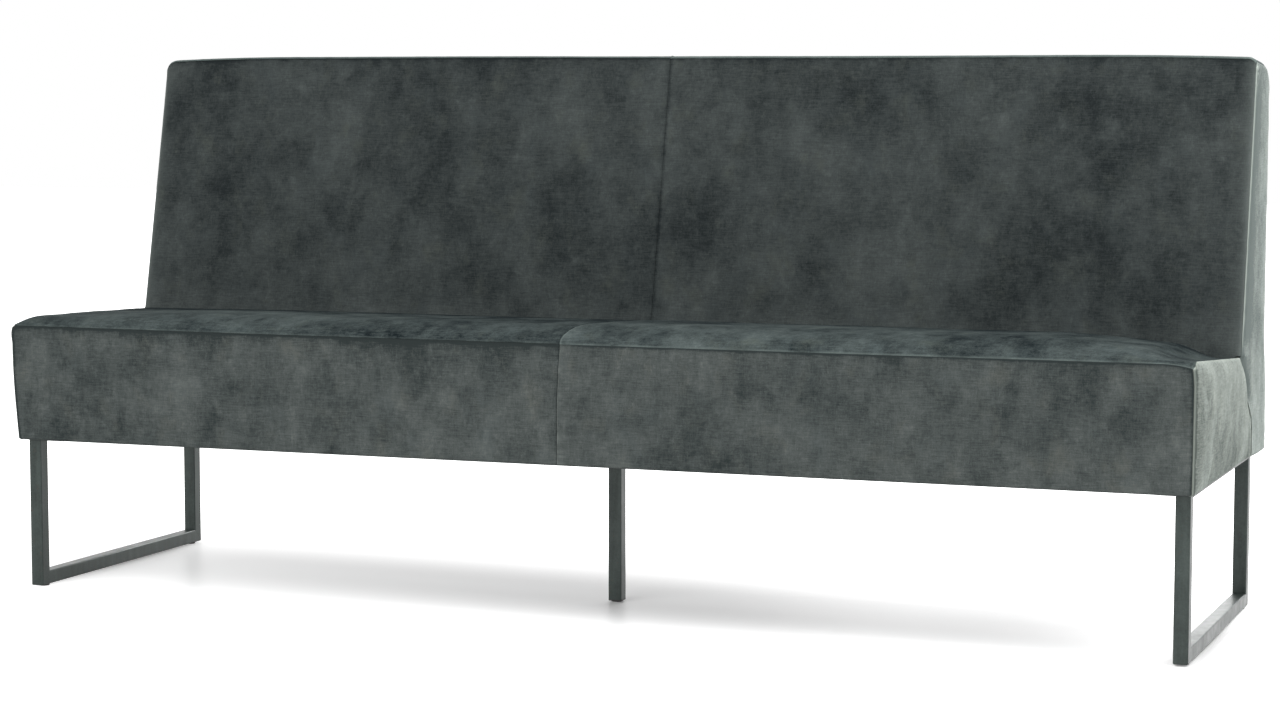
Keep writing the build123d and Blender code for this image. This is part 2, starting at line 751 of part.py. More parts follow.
def back_covers():
    skin = back_solid(0, cover_bottom) - back_solid(cover_thickness, cover_bottom - overrun)
    middle = block(0, back_seam_half, -half_depth, half_depth + overrun, 0, back_height + overrun)
    end = skin - middle
    panels = skin & middle

    split = back_front_round + cover_thickness
    front_region = side_prism(
        [
            (back_front(spring_pad_top, -overrun), spring_pad_top),
            (back_front(spring_pad_top, split), spring_pad_top),
            (back_front(back_height, split), back_height),
            (back_front(back_height, -overrun), back_height),
        ],
        0,
        back_half,
    )
    front_region &= extrude(back_front_shape(0, back_top_seam), amount=-half_depth, both=True)
    # below the seat's top the panel is tucked in, inside the seat's end pads
    front_region -= block(
        frame_half - soft_clearance,
        back_half,
        -half_depth,
        half_depth,
        0,
        seat_height - end_rear_drop,
    )
    front = panels & front_region

    rear_region = block(
        0,
        back_half,
        half_depth - back_rear_round / 2,
        half_depth + overrun,
        0,
        back_height,
    )
    rear_region &= extrude(back_front_shape(0, back_rear_seam), amount=-2 * half_depth, both=True)
    rear = panels & rear_region

    top_region = side_prism(
        [
            (back_front(back_height - back_rear_seam, -overrun), back_height - back_rear_seam),
            (half_depth + overrun, back_height - back_rear_seam - back_end_fall),
            (half_depth + overrun, back_height + overrun),
            (back_front(back_height, -overrun), back_height + overrun),
        ],
        0,
        back_half,
    )
    top = (panels & top_region) - front_region - rear_region

    rear_hem = block(
        0, half_length - hem_width, half_depth - hem_width, half_depth, cover_bottom, rail_bottom
    )
    end_hem = block(
        half_length - hem_width,
        back_half - cover_thickness / 2,
        end_seam_foot,
        half_depth - cover_thickness,
        cover_bottom,
        rail_bottom,
    )
    end_panel = (end & end_panel_region(soft_clearance, cover_bottom)) + end_hem
    keep_pair("back_front_cover_{}", front)
    keep_pair("back_top_cover_{}", top)
    keep_pair("back_rear_cover_{}", rear + rear_hem)
    keep_pair("back_end_cover_{}", end_panel)


# Foam on the front of the back and over its top rail, and the thick pads on its ends
def back_foams():
    depth = cover_thickness + soft_clearance
    inside = back_solid(depth, cover_bottom, chamfer)
    core_front = [
        (back_front(height, core_depth - webbing_thickness), height)
        for height in (spring_pad_top - overrun, top_rail_top)
    ]
    far = half_depth + overrun
    core = side_prism(
        core_front + [(far, top_rail_top), (far, spring_pad_top - overrun)], 0, frame_inner_half
    )
    front_room = block(
        0, frame_inner_half, -half_depth, far, spring_pad_top, back_height + overrun
    )
    keep_pair("back_foam_{}", (inside & front_room) - core)

    above_rail = block(frame_inner_half, frame_half, -half_depth, far, spring_pad_top, back_height)
    beside_rail = block(frame_half, back_half, -half_depth, far, rail_bottom, back_height)
    beside_rail &= end_panel_region(cover_thickness, rail_bottom)
    keep_pair("back_end_foam_{}", (inside & above_rail) + (inside & beside_rail))


# Plywood ribs, the rail over them and the thin board on their rear edges
def back_frame():
    foot = board_top + rib_gap
    rib_outline = [
        (inner_rail_rear, foot),
        (rail_inner_rear, foot),
        (rail_inner_rear, rail_top),
        (frame_rear, rail_top),
        (frame_rear, top_rail_bottom),
        (back_front(top_rail_bottom, core_depth), top_rail_bottom),
        (inner_rail_rear, rail_top),
    ]
    inner_rib = side_prism(rib_outline, -rib_thickness / 2, rib_thickness / 2)
    rows = [Pos(x, 0, 0) for x in (-cross_rail_place, 0, cross_rail_place)]
    parts["back_inner_ribs"] = Compound([row * inner_rib for row in rows])

    end_rib = side_prism(rib_outline, frame_inner_half - rib_thickness, frame_inner_half)
    for y, z in back_bolt_places():
        hole = upright_bar(
            bolt_diameter + bolt_clearance, rib_thickness, 0, 0, frame_inner_half - rib_thickness
        )
        end_rib -= Pos(0, y, z) * Rotation(0, 90, 0) * hole
    keep_pair("back_{}_rib", end_rib)

    rail_outline = [
        (back_front(top_rail_bottom, core_depth), top_rail_bottom),
        (frame_rear, top_rail_bottom),
        (frame_rear, top_rail_top),
        (back_front(top_rail_top, core_depth), top_rail_top),
    ]
    parts["back_top_rail"] = side_prism(rail_outline, -frame_inner_half, frame_inner_half)

    board_rear = frame_rear + outer_board_thickness
    parts["back_outer_board"] = block(
        -frame_inner_half, frame_inner_half, frame_rear, board_rear, rail_bottom, rear_layers_top
    )
    parts["back_rear_wadding"] = block(
        -frame_inner_half,
        frame_inner_half,
        board_rear,
        board_rear + rear_wadding_thickness,
        rail_bottom,
        rear_layers_top,
    )

    front = core_depth - webbing_thickness
    band_outline = [
        (back_front(rail_top, core_depth), rail_top),
        (back_front(top_rail_top, core_depth), top_rail_top),
        (back_front(top_rail_top, front), top_rail_top),
        (back_front(rail_top, front), rail_top),
    ]
    band = side_prism(band_outline, -webbing_width / 2, webbing_width / 2)
    parts["back_webbing"] = Compound([Pos(x, 0, 0) * band for x in band_places(back_webbing_count)])


u_leg()
middle_leg()
floor_glides()
fasteners()
seat_frame()
seat_springing()
seat_top_cover()
seat_foam()
seat_front_wadding()
seat_front_cover()
seat_end_cover()
seat_end_pad()
dust_cover()
back_covers()
back_foams()
back_frame()

for name, piece in parts.items():
    export_step(piece, f"parts/{name}.step")
print(len(parts), "nodes written")
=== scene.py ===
import json
from math import atan2, cos, exp, floor, hypot, pi, radians, sin, sqrt, tan

import bmesh
import bpy
from mathutils import Euler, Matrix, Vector, noise


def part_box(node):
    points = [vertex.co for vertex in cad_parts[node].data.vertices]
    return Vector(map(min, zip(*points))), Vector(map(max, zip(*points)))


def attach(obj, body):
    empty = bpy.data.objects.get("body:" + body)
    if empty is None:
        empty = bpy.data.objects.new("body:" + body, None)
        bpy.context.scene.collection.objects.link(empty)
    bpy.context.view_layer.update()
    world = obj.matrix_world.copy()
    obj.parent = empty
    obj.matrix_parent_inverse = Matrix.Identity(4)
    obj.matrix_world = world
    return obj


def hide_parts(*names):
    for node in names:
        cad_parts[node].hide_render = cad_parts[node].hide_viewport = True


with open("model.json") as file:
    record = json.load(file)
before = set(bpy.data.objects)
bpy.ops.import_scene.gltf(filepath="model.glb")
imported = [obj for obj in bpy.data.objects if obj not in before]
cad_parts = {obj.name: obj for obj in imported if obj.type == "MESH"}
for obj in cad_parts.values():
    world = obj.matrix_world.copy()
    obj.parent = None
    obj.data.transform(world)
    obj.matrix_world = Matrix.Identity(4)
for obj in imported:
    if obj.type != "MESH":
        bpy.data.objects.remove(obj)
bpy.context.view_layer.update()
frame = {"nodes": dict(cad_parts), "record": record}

nodes = frame["nodes"]
print("bench: frame loaded,", len(nodes), "nodes")

# Shared measures of the padded body, in metres and degrees, as the frame has them
bench = {
    "backHalf": 1.087,  # middle to the back's end
    "backSeam": 1.0855,  # where the back's front, top and rear panels end
    "halfDepth": 0.338,
    "bottom": 0.278,  # cover's lower edge
    "middleGap": 0.0003,  # half of the gap in the middle seams
    "seamGap": 0.0003,
    "recline": 12,
    "backFoot": 0.103,  # Y of the back's front at the height below
    "backFootHeight": 0.513,
    "backHeight": 0.988,
}
reclineSlope = tan(radians(bench["recline"]))
halfDepth, bottom = bench["halfDepth"], bench["bottom"]

# The left and the right end were pulled differently when the cover was put on by hand.
# The end's top seam falls to the rear by its slope and drops in the front corner; foot, edge and
# edgeRear are how far out the end lies at the bottom and at both ends of that seam.
# lip and frontShade set the strength of the painted highlight on the seat's front seam and of the painted
# shade under it.
ends = {
    1: {
        "seam": 0.4942, "seamSlope": -0.0684, "cornerDrop": 0.0115, "cornerRun": 0.012,
        "foot": 1.0855, "edge": 1.084, "edgeRear": 1.086, "swellFront": 0.08, "gutter": 0.003,
        "frontDrop": 0.007, "lip": 0.34, "frontShade": 0.15,
        "backTop": -0.0020, "backFall": 0.005, "backRound": 0.015, "backCorner": 0.006,
    },
    -1: {
        "seam": 0.4890, "seamSlope": -0.0244, "cornerDrop": 0.0, "cornerRun": 0.012,
        "foot": 1.091, "edge": 1.0965, "edgeRear": 1.089, "swellFront": 0.85, "gutter": 0.0,
        "frontDrop": 0.0, "lip": 0.20, "frontShade": 0.6,
        "backTop": 0.0006, "backFall": 0.007, "backRound": 0.032, "backCorner": 0.029,
    },
}


def lerp(a, b, share):
    return a + (b - a) * share


def clamp(value, low=0.0, high=1.0):
    return max(low, min(high, value))


def eased(share):
    share = clamp(share)
    return share * share * (3 - 2 * share)


def arc(share):  # quarter circle from 0 to 1
    share = clamp(share)
    return sqrt(1 - (1 - share) ** 2)


def hump(distance, reach):  # 1 on a line, soft on both sides of it
    return exp(-((distance / reach) ** 2))


def fade(distance, reach):  # 1 at a line, less and less away from it
    return exp(-distance / reach)


def crowd(share, pull):  # brings grid lines nearer to both edges
    return share - pull * sin(2 * pi * share) / (2 * pi)


def behindFront(y):  # distance from the seat's front face
    return y + halfDepth


def backPlane(height):  # Y of the back's front at a height
    return bench["backFoot"] + (height - bench["backFootHeight"]) * reclineSlope


def wave(x, y, z):  # smooth noise from -1 to 1
    return noise.noise(Vector((x, y, z)))


def sideName(side):
    return "right" if side > 0 else "left"


# Unevenness of a panel: rows of wave height, width and length, and a shift of the seed
def dented(plan, across, along, seed):
    return sum(
        size * wave(across / width, along / length, seed + shift)
        for size, width, length, shift in plan["dents"]
    )


# Small gathers at the seams, for places along a seam and their distances to it: rows of pitch,
# reach, shift of the seed and share
def gathered(plan, seed, *places):
    total = 0
    for (along, gap), (pitch, reach, shift, share) in zip(places, plan["gathers"]):
        total += share * wave(along / pitch, 0, seed + shift) * fade(gap, reach)
    return total


gather = {"seat": 0.0004, "back": 0.0003}
pleat = {"reach": 0.011, "start": 0.003, "least": 0.0001}


def cornerPleats(plan, first, second):  # pleats that fan out from a sewn corner
    size, count = plan["pleats"]
    corner = hypot(first, second)
    fan = size * sin(count * atan2(first + pleat["least"], second + pleat["least"]))
    return fan * hump(corner, pleat["reach"]) * clamp(corner / pleat["start"])


coverFrames = 16
coverCloth = {
    "quality": 5, "mass": 0.3, "tension_stiffness": 12.0, "compression_stiffness": 12.0,
    "shear_stiffness": 6.0, "bending_stiffness": 0.6, "vertex_group_mass": "seams",
    "use_pressure": True,
}


def addGrid(mesh, columns, rows, place, side):
    grid = bmesh.ops.create_grid(mesh, x_segments=columns, y_segments=rows, size=0.5)["verts"]
    shares = [(vert.co.x + 0.5, vert.co.y + 0.5) for vert in grid]
    for vert, share in zip(grid, shares):
        x, y, z = place(*share)
        vert.co = (side * x, y, z)
    return grid, shares


def neighbourWeights(part):  # smooth curve through four neighbours
    square, cube = part * part, part * part * part
    return (
        (-cube + 2 * square - part) / 2, (3 * cube - 5 * square + 2) / 2,
        (-3 * cube + 4 * square + part) / 2, (cube - square) / 2,
    )


# The cover's panel as cloth, held in its seams and blown up from inside like cloth over foam
def billowed(place, plan, side):
    if "billow" not in plan:
        return place
    columns, rows = plan["clothGrid"]
    mesh = bmesh.new()
    shares = addGrid(mesh, columns, rows, place, side)[1]
    data = bpy.data.meshes.new("clothTrial")
    mesh.to_mesh(data)
    held = [vert.index for vert in mesh.verts if vert.is_boundary]
    mesh.free()
    trial = bpy.data.objects.new("clothTrial", data)
    scene = bpy.context.scene
    scene.collection.objects.link(trial)
    trial.vertex_groups.new(name="seams").add(held, 1.0, "REPLACE")
    cloth = trial.modifiers.new("cover", "CLOTH")
    for key, value in coverCloth.items():
        setattr(cloth.settings, key, value)
    cloth.settings.uniform_pressure_force = plan["pressure"]
    cloth.settings.shrink_min = -plan["slack"]
    cloth.settings.effector_weights.gravity = 0
    cloth.collision_settings.use_collision = False
    cloth.point_cache.frame_end = coverFrames
    for step in range(1, coverFrames + 1):
        scene.frame_set(step)
    shaped = trial.evaluated_get(bpy.context.evaluated_depsgraph_get())
    moves = [[None] * (rows + 1) for column in range(columns + 1)]
    for index, vert in enumerate(shaped.data.vertices):
        move = vert.co - data.vertices[index].co
        move *= plan["billow"] / (plan["billow"] + move.length)
        across, up = shares[index]
        moves[round(across * columns)][round(up * rows)] = move
    scene.frame_set(1)
    bpy.data.objects.remove(trial)
    bpy.data.meshes.remove(data)

    def moved(across, up):
        x, y, z = place(across, up)
        column = min(columns - 1, floor(across * columns))
        row = min(rows - 1, floor(up * rows))
        total = Vector((0, 0, 0))
        for i, first in enumerate(neighbourWeights(across * columns - column)):
            line = moves[int(clamp(column + i - 1, 0, columns))]
            for j, second in enumerate(neighbourWeights(up * rows - row)):
                total += line[int(clamp(row + j - 1, 0, rows))] * (first * second)
        return x + side * total.x, y + total.y, z + total.z

    return moved


# Two grids, the panel's outside and its inside, joined round the rim, with the outer rim rounded.
# The marks are read by the velvet as painted light: the first is a painted highlight on seam lips and
# corners, the second is painted light where above 0 and painted shade where below.
def sewnPanel(name, plan, outer, inner, marks, side):
    outer = billowed(outer, plan, side)
    mesh = bmesh.new()
    outside = set(addGrid(mesh, plan["columns"], plan["rows"], outer, side)[0])
    addGrid(mesh, plan["columns"], plan["rows"], inner, side)
    rim = [edge for edge in mesh.edges if edge.is_boundary]
    outerRim = [edge for edge in rim if edge.verts[0] in outside]
    bmesh.ops.bridge_loops(mesh, edges=rim)
    bmesh.ops.bevel(
        mesh, geom=outerRim, offset=plan["rim"], offset_type="OFFSET", segments=3, profile=0.5,
        affect="EDGES", material=-1, clamp_overlap=True,
    )
    bmesh.ops.recalc_face_normals(mesh, faces=mesh.faces[:])
    for face in mesh.faces:
        face.smooth = True
    # painted highlight and painted light and shade, set for each corner of the panel
    highlight = mesh.verts.layers.float.new("highlight")
    tone = mesh.verts.layers.float.new("tone")
    for vert in mesh.verts:
        vert[highlight], vert[tone] = marks(side * vert.co.x, vert.co.y, vert.co.z)
    return keepPiece(f"{name}_{sideName(side)}", mesh)


def keepPiece(name, mesh):
    data = bpy.data.meshes.new(name)
    mesh.to_mesh(data)
    mesh.free()
    piece = bpy.data.objects.new(name, data)
    bpy.context.scene.collection.objects.link(piece)
    return piece


seatTop = {
    "columns": 240, "rows": 110, "pull": 0.72, "rim": 0.0013,
    "front": 0.4885,  # front seam in the middle of the bench
    "frontRise": 0.0006,  # and its rise towards the ends
    "crown": 0.5155,
    "crownRun": 0.100,
    "rollShare": 0.30,  # share of the rows that lie on the roll behind the front seam
    "run": 0.438,  # front to the back's foot, and the part of it behind the roll
    "flatRun": 0.338,
    "rear": 0.4980,
    "rearY": 0.098,  # where the back's front cuts the seat
    "rearReach": 0.100,
    "innerRear": 0.085,
    "dip": 0.0018,  # sunk middle seam
    "dipWidth": 0.025,
    "drift": (0.005, 0.0018),  # of the middle seam to the left, at the front and behind the roll
    "driftRun": 0.15,
    "longFall": (0.78, 0.2, 0.36),  # to the right end: start, run and share
    "shortFall": (0.97, 0.085),
    "gutterWidth": 0.010,
    "leftCrown": 0.5063, "leftRun": 0.055, "leftRear": 0.4942, "leftRoll": 0.028,
    "leftFall": (0.6, 0.466),
    "creaseRound": 0.006,  # roll into the crease at the back
    "depth": 0.012,
    "dents": ((0.0014, 0.21, 0.16, 0), (0.0006, 0.07, 0.05, 5)),
    "ripple": 0.0010, "rippleReach": 0.09,  # folds along the back
    "gathers": ((0.014, 0.016, 13, 1), (0.016, 0.02, 17, 1), (0.02, 0.015, 19, 1)),
    "pleats": (3.0, 9),
    "billow": 0.0016, "pressure": 1.5, "slack": 0.004, "clothGrid": (130, 50),
}
seatFront = {
    "columns": 230, "rows": 44, "pull": 0.72, "rim": 0.0013,
    "depth": 0.009,
    "puff": 0.0012, "puffReach": 0.05,
    "hem": 0.004,  # round lower edge
    "dents": ((0.0007, 0.16, 0.22, 0), (0.0003, 0.05, 0.12, 4)),
    "gathers": ((0.013, 0.018, 11, 1), (0.016, 0.014, 15, 0.8)),
    "billow": 0.0010, "pressure": 1.0, "slack": 0.002, "clothGrid": (130, 26),
}
seatEnd = {
    "columns": 110, "rows": 60, "pull": 0.6, "rowPull": 0.5, "rim": 0.0012,
    "bulge": 0.014,
    "wideHeight": 0.180,  # lower edge to the widest part
    "round": 0.026,
    "wrap": 0.0035,  # turn round the front corner
    "wrapShare": 0.03,
    "depth": 0.009,
    "inside": 1.084,
    "foot": 0.212,  # crease against the back's end panel, at the bottom
    "bend": 0.345,  # height at which the crease turns to the front
    "creaseFoot": 1.0865,  # how far out the end lies at the crease's foot
    "creaseSwell": 0.08,
    "hem": 0.004,
    "dents": ((0.0008, 0.12, 0.15, 0), (0.0005, 0.028, 0.12, 3)),
    "gathers": ((0.014, 0.014, 8, 1), (0.014, 0.022, 12, 1)),
    "pleats": (1.2, 8),
    "billow": 0.0016, "pressure": 1.5, "slack": 0.004, "clothGrid": (56, 32),
}


def endSeamHeight(y, side):  # seam between the seat's top and its end panel
    plan = ends[side]
    toFront = behindFront(y)
    corner = plan["cornerDrop"] * (1 - clamp(toFront / plan["cornerRun"])) ** 2
    return plan["seam"] + plan["seamSlope"] * toFront - corner


def rearTop(side):  # where that seam meets the back
    return endSeamHeight(0.095, side)


def frontSeamHeight(x, side):
    rise = seatTop["frontRise"] * eased((x - 0.5) / 0.4)
    return seatTop["front"] + rise - ends[side]["frontDrop"] * clamp((x - 1.03) / 0.052) ** 2


def crownLine(y, start, crown, run, rear):  # roll behind the front seam, then the fall to the back
    fall = clamp((behindFront(y) - run) / (seatTop["rearReach"] + halfDepth - run))
    height = lerp(crown, rear, 0.55 * fall + 0.45 * fall * fall)
    return lerp(start, height, arc(behindFront(y) / run))


def seamShift(z):  # the middle seam of the seat's front drifts to the left on its way down
    return 0.011 - 0.006 * clamp((z - 0.365) / 0.122) ** 1.6


def seatOutline(y, side):  # the end's seam seen from above
    plan = ends[side]
    return lerp(plan["edge"], plan["edgeRear"], clamp(behindFront(y) / 0.43))


def wrapInset(toFront):
    wrap = seatEnd["wrap"]
    return wrap - wrap * arc(toFront / wrap)


def seatHeight(x, y, side):
    plan = seatTop
    middle = crownLine(y, plan["front"], plan["crown"], plan["crownRun"], plan["rear"])
    middle -= plan["dip"] * clamp(1 - x / plan["dipWidth"]) ** 2
    edge = seatOutline(y, side)
    seam = endSeamHeight(y, side)
    if side > 0:
        start, run, part = plan["longFall"]
        share = part * clamp((x - start) / run) ** 1.3
        start, run = plan["shortFall"]
        share += (1 - part) * eased((x - start) / run)
        gutter = ends[side]["gutter"]
        ridge = gutter * clamp(1 - (edge - x) / plan["gutterWidth"]) ** 2
        return lerp(middle, seam - gutter, share) + ridge
    start, run = plan["leftFall"]
    end = crownLine(y, ends[side]["seam"], plan["leftCrown"], plan["leftRun"], plan["leftRear"])
    roll = clamp(1 - (edge - x) / plan["leftRoll"])
    level = lerp(middle, end, clamp((x - start) / run) ** 2)
    return level - (end - seam) * (1 - sqrt(1 - roll * roll))


def seatTopDents(x, y, toBack, toEnd, side):
    plan = seatTop
    seed = 3.1 * side
    toFront = behindFront(y)
    edge = min(1, toFront / 0.03, toEnd / 0.03, x / 0.02, toBack / 0.01)
    ripples = wave(x / 0.11 + 0.8 * wave(x / 0.3, 0, seed), y / 0.022 + x / 0.5, seed + 9)
    dent = dented(plan, x, y, seed) + plan["ripple"] * ripples * fade(toBack, plan["rippleReach"])
    puckers = gathered(plan, seed, (x, toFront), (y, x), (y, toEnd))
    return dent * clamp(edge) + gather["seat"] * (puckers + cornerPleats(plan, toFront, toEnd))


def seatTopHalf(side):
    plan = seatTop

    def outer(across, along):
        across = crowd(across, plan["pull"])
        if along < plan["rollShare"]:
            angle = 0.5 * pi * along / plan["rollShare"]
            toFront = plan["crownRun"] * (1 - cos(angle))
        else:
            part = (along - plan["rollShare"]) / (1 - plan["rollShare"])
            toFront = plan["crownRun"] + plan["flatRun"] * (part + 0.12 * sin(pi * part) * (1 - part))
        y = toFront - halfDepth
        edge = seatOutline(y, side) - wrapInset(toFront) - bench["seamGap"]
        low = bench["middleGap"] - side * lerp(*plan["drift"], clamp(toFront / plan["driftRun"]))
        x = lerp(low, edge, across)
        yRear = backPlane(seatHeight(x, plan["rearY"], side)) - bench["seamGap"]
        toFront *= behindFront(yRear) / plan["run"]
        y = toFront - halfDepth
        z = seatHeight(x, y, side)
        z += (frontSeamHeight(x, side) - seatHeight(x, -halfDepth, side)) * fade(toFront, 0.012)
        z += seatTopDents(x, y, yRear - y, edge - x, side)
        roll = clamp(1 - (yRear - y) / plan["creaseRound"])
        return x, y, z - plan["creaseRound"] * (1 - sqrt(1 - roll * roll))

    def inner(across, along):
        y = lerp(plan["depth"] - halfDepth, plan["innerRear"], along)
        x = lerp(bench["middleGap"], seatOutline(y, side) - plan["depth"], across)
        low = min(frontSeamHeight(x, side), seatHeight(x, y, side), rearTop(side))
        return x, y, low - plan["depth"]

    # Painted light and shade: painted highlight on the front seam's lip, the end seam, the front corner
    # and beside the middle seam; painted shade darkening towards the crease at the back and on the left
    # half beside the middle seam; painted light on the front roll and on the right half's shoulder beside
    # the middle seam.
    def marks(x, y, z):
        toFront = hypot(behindFront(y), z - frontSeamHeight(x, side))
        toEnd = max(0.0, seatOutline(y, side) - x)
        lip = ends[side]["lip"] * clamp(0.8 + 0.9 * wave(x / 0.05, 0, 7.7))
        highlight = lip * hump(toFront, 0.0024) + 0.3 * hump(toEnd, 0.003)
        tips = clamp(0.2 + wave(x / 0.003, y / 0.003, z / 0.003) * 1.8)
        highlight += 0.7 * hump(hypot(toFront, toEnd), 0.007) * tips
        toSeam = x + side * 0.004
        toBack = max(0.0, 0.1 - y)
        tone = -0.5 * fade(toBack, 0.16) - 0.5 * fade(toBack, 0.02) + 0.08 * hump(toFront - 0.02, 0.03)
        if side > 0:
            tone += 0.6 * fade(max(0.0, toSeam), 0.018) * clamp((toFront - 0.004) / 0.02)
            highlight += 0.3 * hump(toSeam, 0.0022)
        else:
            tone -= 0.30 * fade(max(0.0, toSeam), 0.06)
        return clamp(highlight), tone

    return sewnPanel("seatTop", plan, outer, inner, marks, side)


def creaseTop(y, side):  # top edge of the seat's end panel, seam and crease
    top = rearTop(side)
    rear = backPlane(top)
    if y <= rear:
        return endSeamHeight(y, side)
    share = clamp((y - rear) / (seatEnd["foot"] - rear))
    return lerp(top, seatEnd["bend"], eased(share) * 0.3 + share * 0.7)


def creasePoint(up, side):  # crease from its foot to the seat's top, as a share of its length
    top = rearTop(side)
    rear = backPlane(top)
    straight = seatEnd["bend"] - bottom
    slanted = hypot(seatEnd["foot"] - rear, top - seatEnd["bend"])
    run = up * (straight + slanted)
    if run < straight:
        return seatEnd["foot"], bottom + run
    y = lerp(seatEnd["foot"], rear, (run - straight) / slanted)
    return y, creaseTop(y, side)


def hemInset(height, round):  # turn of a panel's lower edge under the frame
    return round - round * arc(height / round)


def seatEndFace(y, z, side):  # how far out the seat's end lies
    plan = seatEnd
    rear = backPlane(rearTop(side))
    share = clamp(behindFront(y) / behindFront(rear))
    swell = max(1 - abs(2 * share ** 0.7 - 1) ** 3, 0.5 * share)
    swell = lerp(ends[side]["swellFront"], 1.0, swell) if share < 0.4 else swell
    behind = eased((y - rear) / (plan["foot"] - rear))
    swell = lerp(swell, plan["creaseSwell"], behind)
    top = creaseTop(y, side)
    wide = min(bottom + plan["wideHeight"], top - plan["round"])
    foot = lerp(ends[side]["foot"], plan["creaseFoot"], behind)
    if z < wide:
        part = clamp((z - bottom) / (wide - bottom))
        out = foot + plan["bulge"] * swell * sin(0.5 * pi * part) ** 0.9
    else:
        part = clamp((z - wide) / (top - wide))
        out = lerp(foot, lerp(seatOutline(y, side), bench["backSeam"], behind), part)
        out += plan["bulge"] * swell * sqrt(max(0, 1 - part ** 2.4))
    return out - hemInset(z - bottom, plan["hem"])


crease = {"from": 0.35, "dip": 0.007, "dipReach": 0.012, "dipRun": 0.08, "shadeRun": 0.09}


def creaseGap(y, z, side):  # rough distance to the crease between seat end and back end
    top = rearTop(side)
    rear = backPlane(top)
    if z > top:
        return hypot(z - top, y - rear)
    if z < seatEnd["bend"]:
        return abs(y - seatEnd["foot"])
    if rear < y < seatEnd["foot"]:
        return abs(z - creaseTop(y, side)) * 0.72
    return hypot(y - rear, z - top) * 0.8


def creaseShade(y, z, reach, side):  # painted shade where the crease is deep, painted light along its lower part
    gap = creaseGap(y, z, side)
    deep = eased((z - crease["from"]) / crease["shadeRun"])
    return 1.6 * deep * hump(gap, reach) - 0.6 * (1 - deep) * fade(gap, 0.0025)


def creaseDip(y, z, side):  # both covers are pulled in where they meet
    dip = crease["dip"] * hump(creaseGap(y, z, side), crease["dipReach"])
    return dip * eased((z - crease["from"]) / crease["dipRun"])


def seatEndPanel(side):
    plan = seatEnd
    seed = 11.7 * side
    front = -halfDepth

    def spot(across, up, inset):
        rearY, rearZ = creasePoint(up, side)
        if across < plan["wrapShare"]:
            y = front + plan["wrap"] * (1 - cos(0.5 * pi * across / plan["wrapShare"]))
        else:
            part = (across - plan["wrapShare"]) / (1 - plan["wrapShare"])
            y = lerp(front + plan["wrap"], rearY, crowd(part, plan["rowPull"]))
        share = (y - front) / (rearY - front)
        z = lerp(lerp(bottom, endSeamHeight(front, side), up), rearZ, share)
        z += up ** 6 * (creaseTop(y, side) - lerp(endSeamHeight(front, side), rearZ, share))
        return lerp(y, 0.0, inset * 2), z - inset * up

    def outer(across, up):
        up = crowd(up, plan["pull"])
        y, z = spot(across, up, 0)
        toFront, toTop = y - front, max(0.0, creaseTop(y, side) - z)
        out = seatEndFace(y, z, side) - wrapInset(toFront)
        out -= creaseDip(y, z, side) * clamp((y - 0.05) / 0.04)
        edge = clamp(min(toFront / 0.03, toTop / 0.02, (z - bottom) / 0.02))
        puckers = gathered(plan, seed, (z, toFront), (y, toTop)) + cornerPleats(plan, toTop, toFront)
        out += dented(plan, y, z, seed) * edge + gather["seat"] * puckers
        return out, y + bench["seamGap"] * (1 - across), z - bench["seamGap"] * up

    def inner(across, up):
        y, z = spot(across, up, plan["depth"])
        return plan["inside"] - plan["depth"], y, z

    # Painted light and shade: painted highlight on the lip at the front wrap, along the top seam and at
    # the top front corner; a dark painted line along the front corner; painted light towards the top
    # seam; painted shade in the crease against the back, with painted light along its lower part.
    def marks(x, y, z):
        toFront, toTop = max(0.0, y - front), max(0.0, creaseTop(y, side) - z)
        seam = toTop if y < 0.09 else 0.05
        lip = x - seatEndFace(front, z, side) + plan["wrap"] - 0.0012
        highlight = 0.22 * hump(lip, 0.0014) * hump(toFront, 0.004) + 0.1 * hump(seam, 0.003)
        tips = clamp(0.3 + 1.8 * wave(y / 0.0035, z / 0.006, seed + 2))
        highlight += 0.3 * hump(hypot(toFront, toTop), 0.009) * tips
        tone = -0.9 * hump(toFront, 0.004) + 0.25 * fade(toTop, 0.06)
        return clamp(highlight), tone - creaseShade(y, z, 0.006, side)

    return sewnPanel("seatEnd", plan, outer, inner, marks, side)


